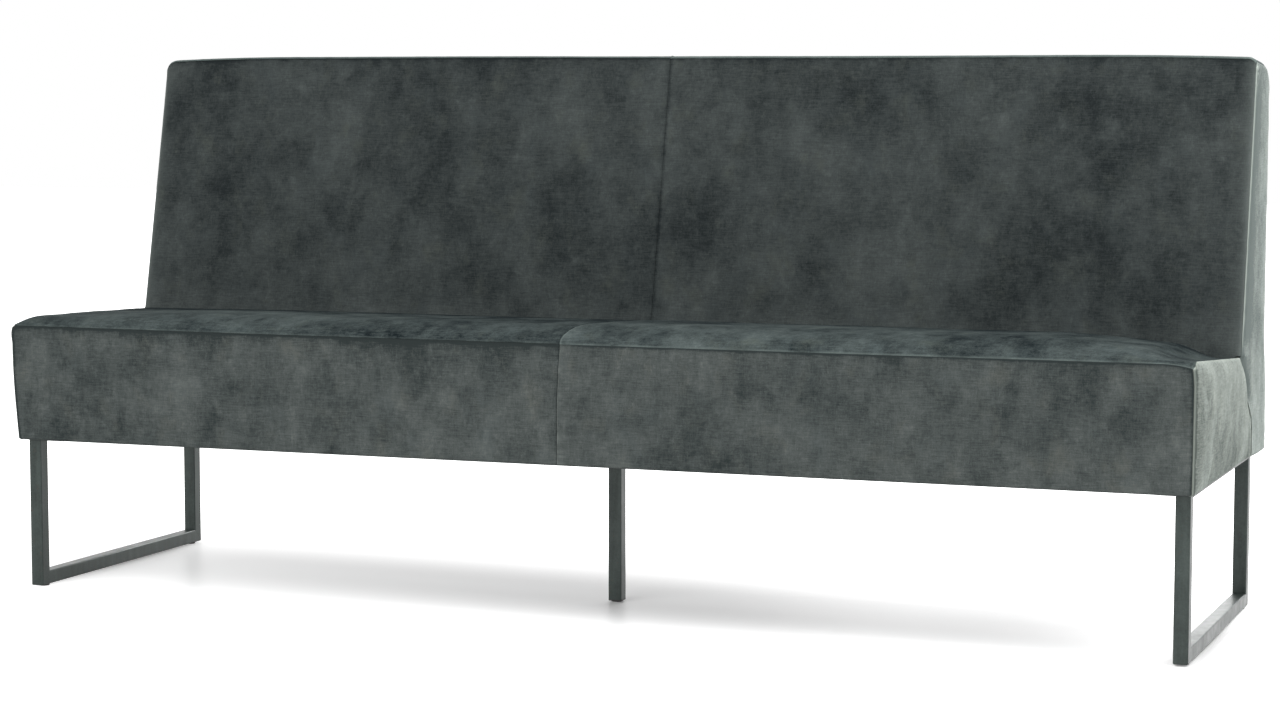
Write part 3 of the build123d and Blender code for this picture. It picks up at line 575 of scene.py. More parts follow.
def seatFrontHalf(side):
    plan = seatFront
    gap = bench["seamGap"]
    seed = 7.3 * side

    def endOf(z):  # where the panel meets the end's
        return seatEndFace(-halfDepth, z, side) - seatEnd["wrap"]

    def dents(x, z, share):
        toTop = frontSeamHeight(x, side) - z
        dent = dented(plan, x, z, seed) * clamp(16 * share * (1 - share))
        return dent + gather["seat"] * gathered(plan, seed, (x, toTop), (z, x))

    def spot(across, up):
        height = lerp(bottom, frontSeamHeight(1.0, side) - gap, up)
        end = endOf(height) - gap
        x = lerp(bench["middleGap"] - side * seamShift(height), end, across)
        return x, lerp(bottom, frontSeamHeight(x, side) - gap, up), end

    def outer(across, up):
        up = crowd(up, plan["pull"])
        x, z, end = spot(crowd(across, plan["pull"]), up)
        puff = plan["puff"] * 4 * up * (1 - up) * clamp(min(x, end - x) / plan["puffReach"])
        y = -halfDepth - puff - dents(x, z, up) + hemInset(z - bottom, plan["hem"])
        return x, y, z

    def inner(across, up):
        x, z, end = spot(across, up * 0.97)
        return min(x, end - plan["depth"]), plan["depth"] - halfDepth, z

    # Painted light and shade: painted shade under the top seam with a dark painted line along it, and
    # painted shade at the corner to the end; on the right half painted light towards the floor and beside
    # the middle seam, with a painted highlight on that seam; on the left half painted shade beside it.
    def marks(x, y, z):
        toTop = frontSeamHeight(x, side) - z
        toSeam = x + side * seamShift(z)
        tone = -ends[side]["frontShade"] * fade(toTop, 0.012) - 0.9 * hump(toTop, 0.0036)
        highlight = 0.0
        if side > 0:
            tone += 0.08 * clamp(1 - (z - bottom) / 0.14)
            highlight += 0.42 * hump(toSeam, 0.002) * clamp(0.6 + 1.2 * wave(z / 0.012, 0, seed))
            tone += 0.35 * fade(toSeam, 0.012) * fade(toTop, 0.03)
            highlight += 0.25 * fade(toSeam, 0.012) * clamp(wave(z / 0.005, x / 0.02, seed) * 2.2)
        else:
            tone -= 0.3 * fade(toSeam, 0.004)
        return clamp(highlight), tone - 0.8 * hump(endOf(z) - x, 0.004)

    return sewnPanel("seatFront", plan, outer, inner, marks, side)


backShape = {
    "topSeam": 0.0042,  # seam of the front panel, under the top
    "fallStart": 0.800,
    "drift": 0.0018,  # of the middle seam to the left
    "frontRound": 0.0055,
    "rearRound": 0.048,  # at the ends, and the fall from front to rear there
    "topFall": 0.010,
    "railRound": 0.034,  # the same over the frame's top rail, which ends at railEnd
    "railFall": 0.006,
    "railEnd": 1.056, "railBlend": 0.024,
    "depth": 0.008,
    "turnHeight": 0.016,  # the upright corners are round from here above the seat
    "startTurn": 0.09,  # part of the front round that the front panel takes, in radians
}
backFront = {
    "columns": 230, "rows": 112, "pull": 0.7, "rim": 0.0010,
    "foot": 0.445,
    "puff": 0.002, "puffReach": 0.15,
    "dents": ((0.0009, 0.24, 0.3, 0), (0.0003, 0.06, 0.14, 2)),
    "gathers": ((0.018, 0.014, 6, 1), (0.016, 0.014, 10, 1), (0.02, 0.02, 14, 1)),
    "billow": 0.0012, "pressure": 1.0, "slack": 0.003, "clothGrid": (120, 56),
}
backTop = {
    "columns": 200, "rows": 40, "pull": 0.5, "rim": 0.0010, "depth": 0.0035,
    "from": 0.003, "to": 0.998,  # shares of the top line that its outside covers
    "dents": ((0.0008, 0.2, 0.12, 0),),
}
backEnd = {
    "columns": 50, "rows": 130, "pull": 0.5, "rim": 0.0012, "inside": 0.006, "swell": 0.003,
    "footSwell": 0.004, "hem": 0.004,
    "dents": ((0.0008, 0.1, 0.2, 0), (0.0004, 0.025, 0.1, 4)),
    "billow": 0.0012, "pressure": 1.0, "slack": 0.003, "clothGrid": (34, 64),
}
backRear = {
    "columns": 110, "rows": 60, "pull": 0.5, "rim": 0.0012, "depth": 0.006, "seam": 0.056,
    "gap": 0.0004, "hem": 0.004, "puff": 0.0006, "dents": ((0.0008, 0.22, 0.3, 0),),
    "billow": 0.0012, "pressure": 1.0, "slack": 0.003, "clothGrid": (60, 36),
}


def backDrop(x, side):  # how far the back's top lies under its full height
    plan, shape = ends[side], backShape
    drop = 0.0012 + (-plan["backTop"] - 0.0012) * eased(x / 0.4)
    run = bench["backHalf"] - shape["fallStart"]
    drop += plan["backFall"] * clamp((x - shape["fallStart"]) / run) ** 2
    radius = plan["backRound"]
    over = clamp(x - bench["backHalf"] + radius, 0.0, radius)
    return drop + radius - sqrt(radius ** 2 - over ** 2)


def backCorner(x, z, side):  # how far the front's upright edge has turned back
    radius = ends[side]["backCorner"]
    over = clamp(x - bench["backHalf"] + radius, 0.0, radius)
    turned = eased((z - rearTop(side) + 0.004) / backShape["turnHeight"])
    return turned * (radius - sqrt(radius ** 2 - over ** 2))


def backFrontHalf(side):
    plan = backFront
    depth = backShape["depth"]
    seed = 17.9 * side
    last = bench["backSeam"] - 0.0002

    def topSeam(x):
        return bench["backHeight"] - backDrop(x, side) - backShape["topSeam"]

    def spot(across, up):
        x = lerp(bench["middleGap"] - side * backShape["drift"], last, across)
        foot = lerp(plan["foot"], rearTop(side) + 0.002, clamp((x - 1.066) / 0.01))
        return x, lerp(foot, topSeam(x) - 0.0002, up), last - x

    def outer(across, up):
        x, z, toEnd = spot(crowd(across, plan["pull"]), crowd(up, plan["pull"]))
        toTop = topSeam(x) - z
        puff = plan["puff"] * clamp(min(x, toEnd) / plan["puffReach"]) * clamp(4 * up * (1 - up))
        dent = dented(plan, x, z, seed) * clamp(min(x, toEnd, toTop) / 0.03)
        puckers = gathered(plan, seed, (z, x), (x, toTop), (z, toEnd))
        y = backPlane(z) + backCorner(x, z, side) - puff - dent - gather["back"] * puckers
        return x, y, z

    def inner(across, up):
        x, z, toEnd = spot(across, up)
        x -= depth * 0.6 * across
        return x, backPlane(z) + backCorner(x, z, side) + depth, z - depth * 0.5 * up

    # Painted light and shade: painted shade under the top seam, painted light towards the foot at the
    # seat; on the left half a painted highlight and painted light at the end's rim and painted shade
    # beside the middle seam; on the right half painted light and a painted highlight towards the end and
    # a dark painted line at the middle seam.
    def marks(x, y, z):
        toTop, toEnd = topSeam(x) - z, last - x
        tone = -0.5 * fade(max(0.0, toTop), 0.004) + 0.22 * fade(max(0.0, z - 0.5), 0.04)
        if side < 0:
            rim = fade(max(0.0, 1.0835 - x), 0.009)
            return clamp(0.75 * rim), tone + 0.6 * rim - 0.5 * fade(max(0.0, x), 0.007)
        tone += 0.3 * fade(max(0.0, toEnd), 0.012) - 0.4 * hump(x, 0.003)
        return clamp(0.5 * fade(max(0.0, toEnd), 0.008)), tone

    return sewnPanel("backFront", plan, outer, inner, marks, side)


# The back's top line seen from its end, at a share of its length from front seam to rear seam,
# moved in by a depth: round front edge, slight fall, large round at the rear, straight to the seam
def topProfile(x, share, depth):
    plan = backShape
    lean = radians(bench["recline"])
    past = eased((x - plan["railEnd"]) / plan["railBlend"])
    drop = lerp(plan["railFall"], plan["topFall"], past)
    edgeY, edgeZ = backPlane(bench["backHeight"]), bench["backHeight"]
    fall = atan2(drop, halfDepth - edgeY)
    radius, rear = plan["frontRound"], lerp(plan["railRound"], plan["rearRound"], past)
    scale = radius / (1 + sin(lean - fall))
    hubY = edgeY - scale * (sin(fall) - cos(lean))
    hubZ = edgeZ - scale * (sin(lean) + cos(fall))
    rearHubY = halfDepth - rear
    rearHubZ = edgeZ - rear / cos(fall) - (rearHubY - edgeY) * tan(fall)
    startAngle = pi - lean - plan["startTurn"]
    flatAngle = pi / 2 - fall
    first = radius * (startAngle - flatAngle)
    flat = (rearHubY - hubY) / cos(fall)
    last = rear * flatAngle
    down = max(0.0, rearHubZ - edgeZ + backRear["seam"])

    def frontPoint(angle):
        return hubY + (radius - depth) * cos(angle), hubZ + (radius - depth) * sin(angle)

    def rearPoint(angle):
        return rearHubY + (rear - depth) * cos(angle), rearHubZ + (rear - depth) * sin(angle)

    run = share * (first + flat + last + down)
    if run < first:
        return frontPoint(startAngle - run / radius)
    run -= first
    if run < flat:
        front, back = frontPoint(flatAngle), rearPoint(flatAngle)
        return lerp(front[0], back[0], run / flat), lerp(front[1], back[1], run / flat)
    run -= flat
    if run > last:
        return halfDepth - depth, rearHubZ + last - run
    return rearPoint(flatAngle - run / rear)


def topPlace(x, share, depth, side):
    y, z = topProfile(x, share, depth)
    drop = backDrop(x, side)
    y += backCorner(x, 0.9, side) * clamp(1 - share / 0.25) - drop * reclineSlope * clamp(1 - share / 0.5)
    return y, z - drop


def backTopHalf(side):
    plan = backTop
    seed = 23.3 * side
    first = bench["middleGap"] - side * backShape["drift"]
    last = bench["backSeam"] - 0.0002

    def outer(across, back):
        across, back = crowd(across, plan["pull"]), crowd(back, plan["pull"])
        x = lerp(first, last, across)
        y, z = topPlace(x, lerp(plan["from"], plan["to"], back), 0, side)
        z += dented(plan, x, y, seed) * clamp(8 * back * (1 - back))
        return x, y, z + gather["back"] * wave(x / 0.015, 0, seed + 4) * fade(back, 0.1)

    def inner(across, back):
        x = lerp(first, bench["backSeam"] - backShape["depth"] * 0.6, across)
        y, z = topPlace(x, lerp(0.05, 0.97, back), plan["depth"], side)
        return x, y, z

    # Painted highlight along the front edge and at the corner to the end; no painted light or shade
    # besides.
    def marks(x, y, z):
        toFront = max(0.0, y - backPlane(bench["backHeight"]) - backCorner(x, 0.9, side))
        highlight = 0.4 * hump(toFront, 0.004) * (1.0 if side > 0 else 0.5)
        tips = clamp(0.3 + 1.8 * wave(x / 0.005, y / 0.008, seed))
        return clamp(highlight + 0.8 * fade(hypot(toFront, last - x), 0.010) * tips), 0.0

    return sewnPanel("backTop", plan, outer, inner, marks, side)


def backEndPanel(side):
    plan = backEnd
    seed = 29.9 * side
    seam = bench["backSeam"]
    gap = bench["seamGap"]
    low = rearTop(side)
    topZ = bench["backHeight"] - backDrop(seam, side) - backShape["topSeam"]
    slanted = hypot(seatEnd["foot"] - backPlane(low), low - seatEnd["bend"])
    creaseRun = seatEnd["bend"] - bottom + slanted
    upright = (topZ - low) / cos(radians(bench["recline"]))

    def frontEdge(up):
        run = up * (creaseRun + upright)
        if run < creaseRun:
            y, z = creasePoint(run / creaseRun, side)
            return y + gap, z + gap * 0.7
        z = lerp(low, topZ, (run - creaseRun) / upright)
        return backPlane(z) + backCorner(seam, z, side) + gap, z

    def topEdge(across):
        return topPlace(seam, lerp(backTop["from"], backTop["to"], across), 0, side)

    # Patch between the four edges
    def spot(across, up):
        front, top = frontEdge(up), topEdge(across)
        footFront, footRear = frontEdge(0), (halfDepth, bottom)
        topFront, topRear = frontEdge(1), topEdge(1)
        rear = (halfDepth, lerp(bottom, topRear[1], up))
        foot = (lerp(footFront[0], halfDepth, across), bottom)

        def pick(i):
            frontLine = lerp(footFront[i], topFront[i], up)
            straight = lerp(frontLine, lerp(footRear[i], topRear[i], up), across)
            return lerp(front[i], rear[i], across) + lerp(foot[i], top[i], up) - straight

        return pick(0), pick(1)

    def toFrontEdge(y, z):
        if z > low:
            return y - backPlane(z) - backCorner(seam, z, side)
        return max(0.0, (y - backPlane(low)) * 0.55)

    def outer(across, up):
        across, up = crowd(across, plan["pull"]), crowd(up, plan["pull"] * 0.6)
        y, z = spot(across, up)
        front = clamp(toFrontEdge(y, z) / 0.012) if z > low else 1.0
        top = clamp((1 - up) * 0.7 / 0.012)
        rear = clamp((halfDepth - y) / 0.005)
        x = seam + plan["swell"] * arc(min(front, top, rear))
        x += plan["footSwell"] * eased((0.5 - z) / 0.12) * eased((y - 0.2) / 0.08) * (side > 0)
        x += clamp(16 * across * (1 - across) * (1 - up) * up * 4) * dented(plan, y, z, seed)
        if z < low:
            x -= creaseDip(y, z, side)
        return x - hemInset(z - bottom, plan["hem"]), y, z

    def inner(across, up):
        y, z = spot(lerp(0.03, 0.98, across), lerp(0.006, 0.988, up))
        return seam - plan["inside"], y, z

    # Painted light and shade: painted highlight along the front seam and near the top corner; painted
    # shade in a band beside the front seam and in the crease against the seat; painted light at the rear
    # edge.
    def marks(x, y, z):
        toFront = toFrontEdge(y, z)
        above = eased((z - low) / 0.05)
        tips = clamp(0.2 + 2.0 * wave(y / 0.006, z / 0.006, seed + 7))
        highlight = 0.3 * hump(toFront - 0.001, 0.0035) * above
        highlight += 0.7 * fade(max(0.0, topZ - z), 0.02) * fade(toFront, 0.03) * tips
        tone = -1.3 * fade(max(0.0, toFront - 0.004), 0.05) * above + 0.4 * eased((y - 0.29) / 0.04)
        shade = creaseShade(y, z, 0.024, side) * (1.0 if z < low else fade(z - low, 0.02))
        return clamp(highlight), tone - shade

    return sewnPanel("backEnd", plan, outer, inner, marks, side)


def backRearHalf(side):
    plan = backRear
    seed = 37.1 * side

    def topSeam(x):
        return bench["backHeight"] - backDrop(x, side) - plan["seam"]

    def spot(across, up, inset):
        x = lerp(bench["middleGap"], bench["backSeam"] - plan["gap"] - inset * 0.6, across)
        top = topSeam(x) - plan["gap"]
        return x, top, lerp(bottom, top, up)

    def outer(across, up):
        x, top, z = spot(crowd(across, plan["pull"]), crowd(up, plan["pull"]), 0)
        edge = clamp(min(x, bench["backSeam"] - x, top - z, z - bottom) / 0.04)
        y = halfDepth + edge * (plan["puff"] + dented(plan, x, z, seed))
        return x, y - hemInset(z - bottom, plan["hem"]), z

    def inner(across, up):
        x, top, z = spot(across, up, plan["depth"])
        return x, halfDepth - plan["depth"], z

    # Painted highlight at the middle seam and painted shade under the top seam.
    def marks(x, y, z):
        return 0.3 * hump(x, 0.002), -0.3 * fade(max(0.0, topSeam(x) - z), 0.006)

    return sewnPanel("backRear", plan, outer, inner, marks, side)


def newMaterial(name):
    material = bpy.data.materials.new(name)
    material.use_nodes = True
    tree = material.node_tree
    return material, tree, tree.nodes["Principled BSDF"]


def plug(tree, socket, value):  # a number, a colour or another node's output
    if isinstance(value, bpy.types.NodeSocket):
        tree.links.new(value, socket)
    else:
        socket.default_value = value


def feed(tree, node, values):
    for key, value in values.items():
        plug(tree, node.inputs[key], value)


def addNode(tree, kind, **settings):
    node = tree.nodes.new(f"ShaderNode{kind}")
    for key, value in settings.items():
        if key in node.inputs:
            plug(tree, node.inputs[key], value)
        else:
            setattr(node, key, value)
    return node


def objectPlace(tree):
    return addNode(tree, "TexCoord").outputs["Object"]


def calc(tree, operation, *values, limited=False):
    node = addNode(tree, "Math", operation=operation, use_clamp=limited)
    for socket, value in zip(node.inputs, values):
        plug(tree, socket, value)
    return node.outputs[0]


def vectorCalc(tree, operation, first, second):
    node = addNode(tree, "VectorMath", operation=operation)
    plug(tree, node.inputs[0], first)
    plug(tree, node.inputs[1], second)
    return node.outputs[0]


def cloud(tree, vector, scale, detail, rough):
    settings = {"Vector": vector, "Scale": scale, "Detail": detail, "Roughness": rough}
    return addNode(tree, "TexNoise", **settings).outputs["Fac"]


def stretch(tree, value, low, high, toLow=0.0, toHigh=1.0):
    node = addNode(tree, "MapRange")
    limits = {"From Min": low, "From Max": high, "To Min": toLow, "To Max": toHigh}
    feed(tree, node, {"Value": value, **limits})
    return node.outputs["Result"]


def mixColour(tree, share, first, second, blend="MIX"):
    node = addNode(tree, "Mix", data_type="RGBA", blend_type=blend)
    for index, value in ((0, share), (6, first), (7, second)):
        plug(tree, node.inputs[index], value)
    return node.outputs[2]


pile = {
    "bend": (0.025, 0.025, 0.025), "bendSize": 14.0,  # makes the patches' outlines uneven
    "tall": (1.0, 1.0, 0.74),  # patches are taller than wide
    "uprightStrokes": (430.0, 430.0, 60.0), "crossStrokes": (45.0, 45.0, 430.0),
    "flecks": (150.0, 150.0, 120.0), "grainSize": 620.0,
    # How much each pattern adds to the share of pale pile
    # The last weight is for the panel's painted light and shade.
    "patch": 0.34, "fine": 0.26, "broad": 0.2, "worn": 0.22, "fleck": 0.26, "grain": 0.55, "tone": 0.6,
    "olive": 0.45, "cool": 0.4,
    "highlightLift": (1.7, 1.7, 1.66, 1),  # painted highlight on seam lips and corners: the pale colour lifted by this
}


# Crushed velvet pile: smoky patches, finer clouds, short strokes where the pile was brushed, grain
def buildSmokyPile():
    group = bpy.data.node_groups.new("smokyPile", "ShaderNodeTree")
    for label, way, kind in (
        ("Vector", "INPUT", "Vector"), ("Deep", "INPUT", "Color"), ("Pale", "INPUT", "Color"),
        ("Olive", "INPUT", "Color"), ("Cool", "INPUT", "Color"), ("Patch Size", "INPUT", "Float"),
        ("Strokes", "INPUT", "Float"), ("Highlight", "INPUT", "Float"), ("Tone", "INPUT", "Float"),
        ("Color", "OUTPUT", "Color"), ("Height", "OUTPUT", "Float"),
    ):
        group.interface.new_socket(name=label, in_out=way, socket_type=f"NodeSocket{kind}")
    inside, out = group.nodes.new("NodeGroupInput"), group.nodes.new("NodeGroupOutput")
    given = inside.outputs
    vector = given["Vector"]
    bend = addNode(group, "TexNoise", Vector=vector, Scale=pile["bendSize"], Detail=3.0)
    bend = vectorCalc(group, "MULTIPLY", bend.outputs["Color"], pile["bend"])
    tall = vectorCalc(group, "MULTIPLY", vectorCalc(group, "ADD", vector, bend), pile["tall"])

    def shifted(offset):
        return vectorCalc(group, "ADD", tall, offset)

    def strokes(scales, detail, rough):
        return cloud(group, vectorCalc(group, "MULTIPLY", vector, scales), 1.0, detail, rough)

    patch = stretch(group, cloud(group, tall, given["Patch Size"], 5.0, 0.6), 0.34, 0.66)
    broad = stretch(group, cloud(group, tall, 4.2, 2.0, 0.5), 0.36, 0.64, -0.5, 0.5)
    fine = stretch(group, cloud(group, tall, 40.0, 6.0, 0.72), 0.3, 0.7)
    worn = stretch(group, cloud(group, shifted((8.1, 2.3, 4.7)), 21.0, 4.0, 0.6), 0.60, 0.76)
    hatch = calc(group, "MULTIPLY", strokes(pile["crossStrokes"], 3.0, 0.7), 1.25)
    hatch = calc(group, "MULTIPLY_ADD", strokes(pile["uprightStrokes"], 3.0, 0.7), 0.75, hatch)
    hatch = calc(group, "SUBTRACT", hatch, 1.0)
    flecks = stretch(group, strokes(pile["flecks"], 5.0, 0.78), 0.52, 0.75)
    grain = cloud(group, vector, pile["grainSize"], 3.0, 0.8)
    share = calc(group, "MULTIPLY", patch, pile["patch"])
    # Adds the patterns, and the panel's painted light and shade, to the share of pale pile
    for pattern, weight in (
        (fine, pile["fine"]), (broad, pile["broad"]), (worn, pile["worn"]), (hatch, given["Strokes"]),
        (flecks, pile["fleck"]), (calc(group, "SUBTRACT", grain, 0.5), pile["grain"]),
        (given["Tone"], pile["tone"]),
    ):
        share = calc(group, "MULTIPLY_ADD", pattern, weight, share)
    share = calc(group, "ADD", share, 0.0, limited=True)
    colour = mixColour(group, share, given["Deep"], given["Pale"])

    # Olive and cool tints in the paler pile
    lit = calc(group, "MULTIPLY", share, 2.0, limited=True)
    olive = stretch(group, cloud(group, tall, 19.0, 5.0, 0.65), 0.55, 0.72, 0.0, 0.8)
    tinted = mixColour(group, pile["olive"], colour, given["Olive"])
    colour = mixColour(group, calc(group, "MULTIPLY", olive, lit), colour, tinted)
    cool = stretch(group, cloud(group, shifted((3.7, 1.9, 5.3)), 15.0, 5.0, 0.65), 0.52, 0.72, 0.0, 0.65)
    tinted = mixColour(group, pile["cool"], colour, given["Cool"])
    colour = mixColour(group, calc(group, "MULTIPLY", cool, lit), colour, tinted)
    # Painted highlight on seam lips and corners: the pale colour, lifted
    bright = mixColour(group, 1.0, given["Pale"], pile["highlightLift"], "MULTIPLY")
    height = calc(group, "MULTIPLY_ADD", fine, 0.5, grain)
    feed(group, out, {"Color": mixColour(group, given["Highlight"], colour, bright), "Height": height})
    return group


smokyPile = buildSmokyPile()

# Each panel's velvet: colours, turn and offset of the pattern, size of its patches. The colours differ
# partly as the pile lies and partly as lit and shaded copies of one velvet: the end panels' pale colours
# are painted sheen from the side light, and the seat top's darker colours are painted shade against the
# light from above.
pileLooks = {
    # painted shade: darker copy of the velvet for the top, which gets more light from above
    "seatTop": {
        "deep": (0.007, 0.011, 0.013), "pale": (0.116, 0.141, 0.137), "olive": (0.080, 0.092, 0.074),
        "cool": (0.034, 0.050, 0.056), "turn": (90, 0, 0), "offset": (2.1, 0.4, 0.0),
        "patch": 15.0, "sheen": 0.02, "gloss": 0.02,
    },
    "seatFront": {
        "deep": (0.024, 0.031, 0.031), "pale": (0.138, 0.153, 0.146), "olive": (0.110, 0.112, 0.092),
        "cool": (0.050, 0.066, 0.070), "offset": (0.0, 3.7, 0.9), "patch": 13.0, "sheen": 0.12,
    },
    # painted sheen: much paler copy of the velvet for the side-lit end
    "seatEnd": {
        "deep": (0.070, 0.082, 0.074), "pale": (0.42, 0.46, 0.42), "olive": (0.34, 0.36, 0.30),
        "cool": (0.21, 0.25, 0.25), "offset": (1.2, 0.3, 5.1), "patch": 12.0, "sheen": 0.08,
    },
    "backFront": {
        "deep": (0.012, 0.016, 0.017), "pale": (0.082, 0.094, 0.091), "olive": (0.066, 0.073, 0.058),
        "cool": (0.028, 0.037, 0.041), "offset": (4.4, 0.2, 0.1), "patch": 11.0, "sheen": 0.08,
    },
    "backTop": {
        "deep": (0.025, 0.036, 0.037), "pale": (0.11, 0.135, 0.13), "olive": (0.085, 0.095, 0.075),
        "cool": (0.045, 0.062, 0.066), "turn": (90, 0, 0), "offset": (0.5, 1.4, 0.0),
        "patch": 12.0, "sheen": 0.1,
    },
    # painted sheen: much paler copy of the velvet for the side-lit end
    "backEnd": {
        "deep": (0.100, 0.120, 0.114), "pale": (0.42, 0.46, 0.43), "olive": (0.34, 0.36, 0.30),
        "cool": (0.21, 0.25, 0.25), "offset": (7.2, 0.3, 1.1), "patch": 12.0, "sheen": 0.08,
    },
    "backRear": {
        "deep": (0.012, 0.016, 0.017), "pale": (0.085, 0.098, 0.094), "olive": (0.068, 0.075, 0.056),
        "cool": (0.030, 0.040, 0.044), "offset": (9.4, 2.2, 0.1), "patch": 11.0, "sheen": 0.1,
    },
}
sharedLook = {"turn": (0, 0, 0), "strokes": 0.5, "gloss": 0.1}


def velvet(name, look):
    material, tree, shader = newMaterial(f"{name}Velvet")
    look = {**sharedLook, **look}
    where = objectPlace(tree)
    turn = [radians(angle) for angle in look["turn"]]
    mapping = addNode(tree, "Mapping", Vector=where, Rotation=turn, Location=look["offset"])
    cloth = addNode(tree, "Group", node_tree=smokyPile)
    feed(tree, cloth, {label: (*look[label.lower()], 1) for label in ("Deep", "Pale", "Olive", "Cool")})
    feed(tree, cloth, {"Patch Size": look["patch"], "Strokes": look["strokes"]})
    feed(tree, cloth, {"Vector": mapping.outputs["Vector"]})
    # The panel's painted highlight and painted light and shade
    for label in ("Highlight", "Tone"):
        mark = addNode(tree, "Attribute", attribute_name=label.lower())
        feed(tree, cloth, {label: mark.outputs["Fac"]})
    height = cloth.outputs["Height"]
    bump = addNode(tree, "Bump", Strength=0.25, Distance=0.0006, Height=height)
    feed(tree, shader, {
        "Base Color": cloth.outputs["Color"], "Normal": bump.outputs["Normal"], "Roughness": 0.85,
        "Specular IOR Level": look["gloss"], "Sheen Weight": look["sheen"], "Sheen Roughness": 0.4,
        "Sheen Tint": (0.75, 0.86, 0.82, 1),
    })
    return material


velvets = {name: velvet(name, look) for name, look in pileLooks.items()}
print("bench: velvet ready")

# Drawn tube with mill scale, and the lines of the mitred welds at the floor rails' ends
steel = {
    "colour": (0.017, 0.026, 0.023), "pale": (0.048, 0.064, 0.058), "rust": (0.052, 0.044, 0.034),
    "weld": (0.012, 0.013, 0.012), "weldHalf": 0.0003, "weldSoft": 0.0009,
    "tube": 0.025, "front": -0.322, "rear": 0.273, "underside": 0.003,
}


def blackenedSteel():
    material, tree, shader = newMaterial("blackenedSteel")
    where = objectPlace(tree)
    drawn = cloud(tree, vectorCalc(tree, "MULTIPLY", where, (60.0, 60.0, 5.0)), 1.0, 5.0, 0.6)
    clouds = cloud(tree, where, 24.0, 5.0, 0.65)
    scale = cloud(tree, where, 260.0, 4.0, 0.75)
    share = calc(tree, "MULTIPLY_ADD", drawn, 0.4, calc(tree, "MULTIPLY", clouds, 0.3))
    share = stretch(tree, calc(tree, "MULTIPLY_ADD", scale, 0.3, share), 0.40, 0.62)
    colour = mixColour(tree, share, (*steel["colour"], 1), (*steel["pale"], 1))
    specks = stretch(tree, cloud(tree, where, 95.0, 3.0, 0.7), 0.64, 0.74)
    colour = mixColour(tree, specks, colour, (*steel["rust"], 1))
    axes = addNode(tree, "SeparateXYZ")
    tree.links.new(where, axes.inputs[0])
    y, z = axes.outputs["Y"], axes.outputs["Z"]
    height = calc(tree, "SUBTRACT", z, steel["underside"])
    lines = []
    for reach in (calc(tree, "SUBTRACT", y, steel["front"]), calc(tree, "SUBTRACT", steel["rear"], y)):
        off = calc(tree, "ABSOLUTE", calc(tree, "SUBTRACT", reach, height))
        near = calc(tree, "LESS_THAN", height, steel["tube"] + 0.0002)
        line = stretch(tree, off, steel["weldHalf"], steel["weldSoft"], 1.0, 0.0)
        lines.append(calc(tree, "MULTIPLY", line, near))
    weld = calc(tree, "MAXIMUM", *lines)
    colour = mixColour(tree, calc(tree, "MULTIPLY", weld, 0.7), colour, (*steel["weld"], 1))
    uneven = calc(tree, "SUBTRACT", drawn, weld)
    bump = addNode(tree, "Bump", Strength=0.2, Distance=0.0004, Height=uneven)
    feed(tree, shader, {
        "Base Color": colour, "Normal": bump.outputs["Normal"], "Metallic": 0.55,
        "Roughness": stretch(tree, clouds, 0.35, 0.7, 0.30, 0.46),
        "Coat Weight": 0.35, "Coat Roughness": 0.25,
    })
    return material


plainLooks = {
    "zincPlate": {"dark": (0.42, 0.42, 0.40), "light": (0.62, 0.62, 0.59), "scale": 60.0,
                  "rough": (0.28, 0.5), "bump": 0.1, "metal": 1.0},
    "glidePlastic": {"dark": (0.012, 0.012, 0.012), "light": (0.03, 0.03, 0.03), "scale": 80.0,
                     "rough": (0.4, 0.6), "bump": 0.15, "metal": 0.0},
    "rawBeech": {"dark": (0.50, 0.35, 0.22), "light": (0.66, 0.50, 0.34), "scale": 14.0,
                 "rough": (0.6, 0.8), "bump": 0.2, "metal": 0.0},
    "spunCloth": {"dark": (0.012, 0.012, 0.013), "light": (0.030, 0.030, 0.032), "scale": 220.0,
                  "rough": (0.85, 1.0), "bump": 0.4, "metal": 0.0},
    "wovenBand": {"dark": (0.05, 0.05, 0.055), "light": (0.12, 0.12, 0.13), "scale": 160.0,
                  "rough": (0.8, 0.95), "bump": 0.4, "metal": 0.0},
    "softFilling": {"dark": (0.62, 0.58, 0.46), "light": (0.80, 0.76, 0.62), "scale": 90.0,
                    "rough": (0.9, 1.0), "bump": 0.3, "metal": 0.0},
}


def plainFinish(name, look):
    material, tree, shader = newMaterial(name)
    where = objectPlace(tree)
    spread = cloud(tree, where, look["scale"], 5.0, 0.6)
    share = stretch(tree, spread, 0.35, 0.68)
    uneven = cloud(tree, where, look["scale"] * 12, 3.0, 0.6)
    bump = addNode(tree, "Bump", Strength=look["bump"], Distance=0.0004, Height=uneven)
    feed(tree, shader, {
        "Base Color": mixColour(tree, share, (*look["dark"], 1), (*look["light"], 1)),
        "Roughness": stretch(tree, spread, 0.3, 0.7, *look["rough"]),
        "Normal": bump.outputs["Normal"], "Metallic": look["metal"],
    })
    return material


plain = {name: plainFinish(name, look) for name, look in plainLooks.items()}
plain["blackenedSteel"] = blackenedSteel()

slotFinish = {
    "blackened_steel": "blackenedSteel", "zinc_steel": "zincPlate", "black_plastic": "glidePlastic",
    "beech_wood": "rawBeech", "plywood": "rawBeech", "hardboard": "rawBeech",
    "elastic_webbing": "wovenBand", "dust_cloth": "spunCloth",
}
slotOf = {part["node"]: part["material_slot"] for part in frame["record"]["subparts"]}
for name, node in nodes.items():
    node.data.materials.clear()
    node.data.materials.append(plain[slotFinish.get(slotOf[name], "softFilling")])
print("bench: finishes on the frame's nodes")


def dress(piece, finish, *stoodFor):
    piece.data.materials.append(velvets[finish])
    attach(piece, "root")
    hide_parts(*stoodFor)


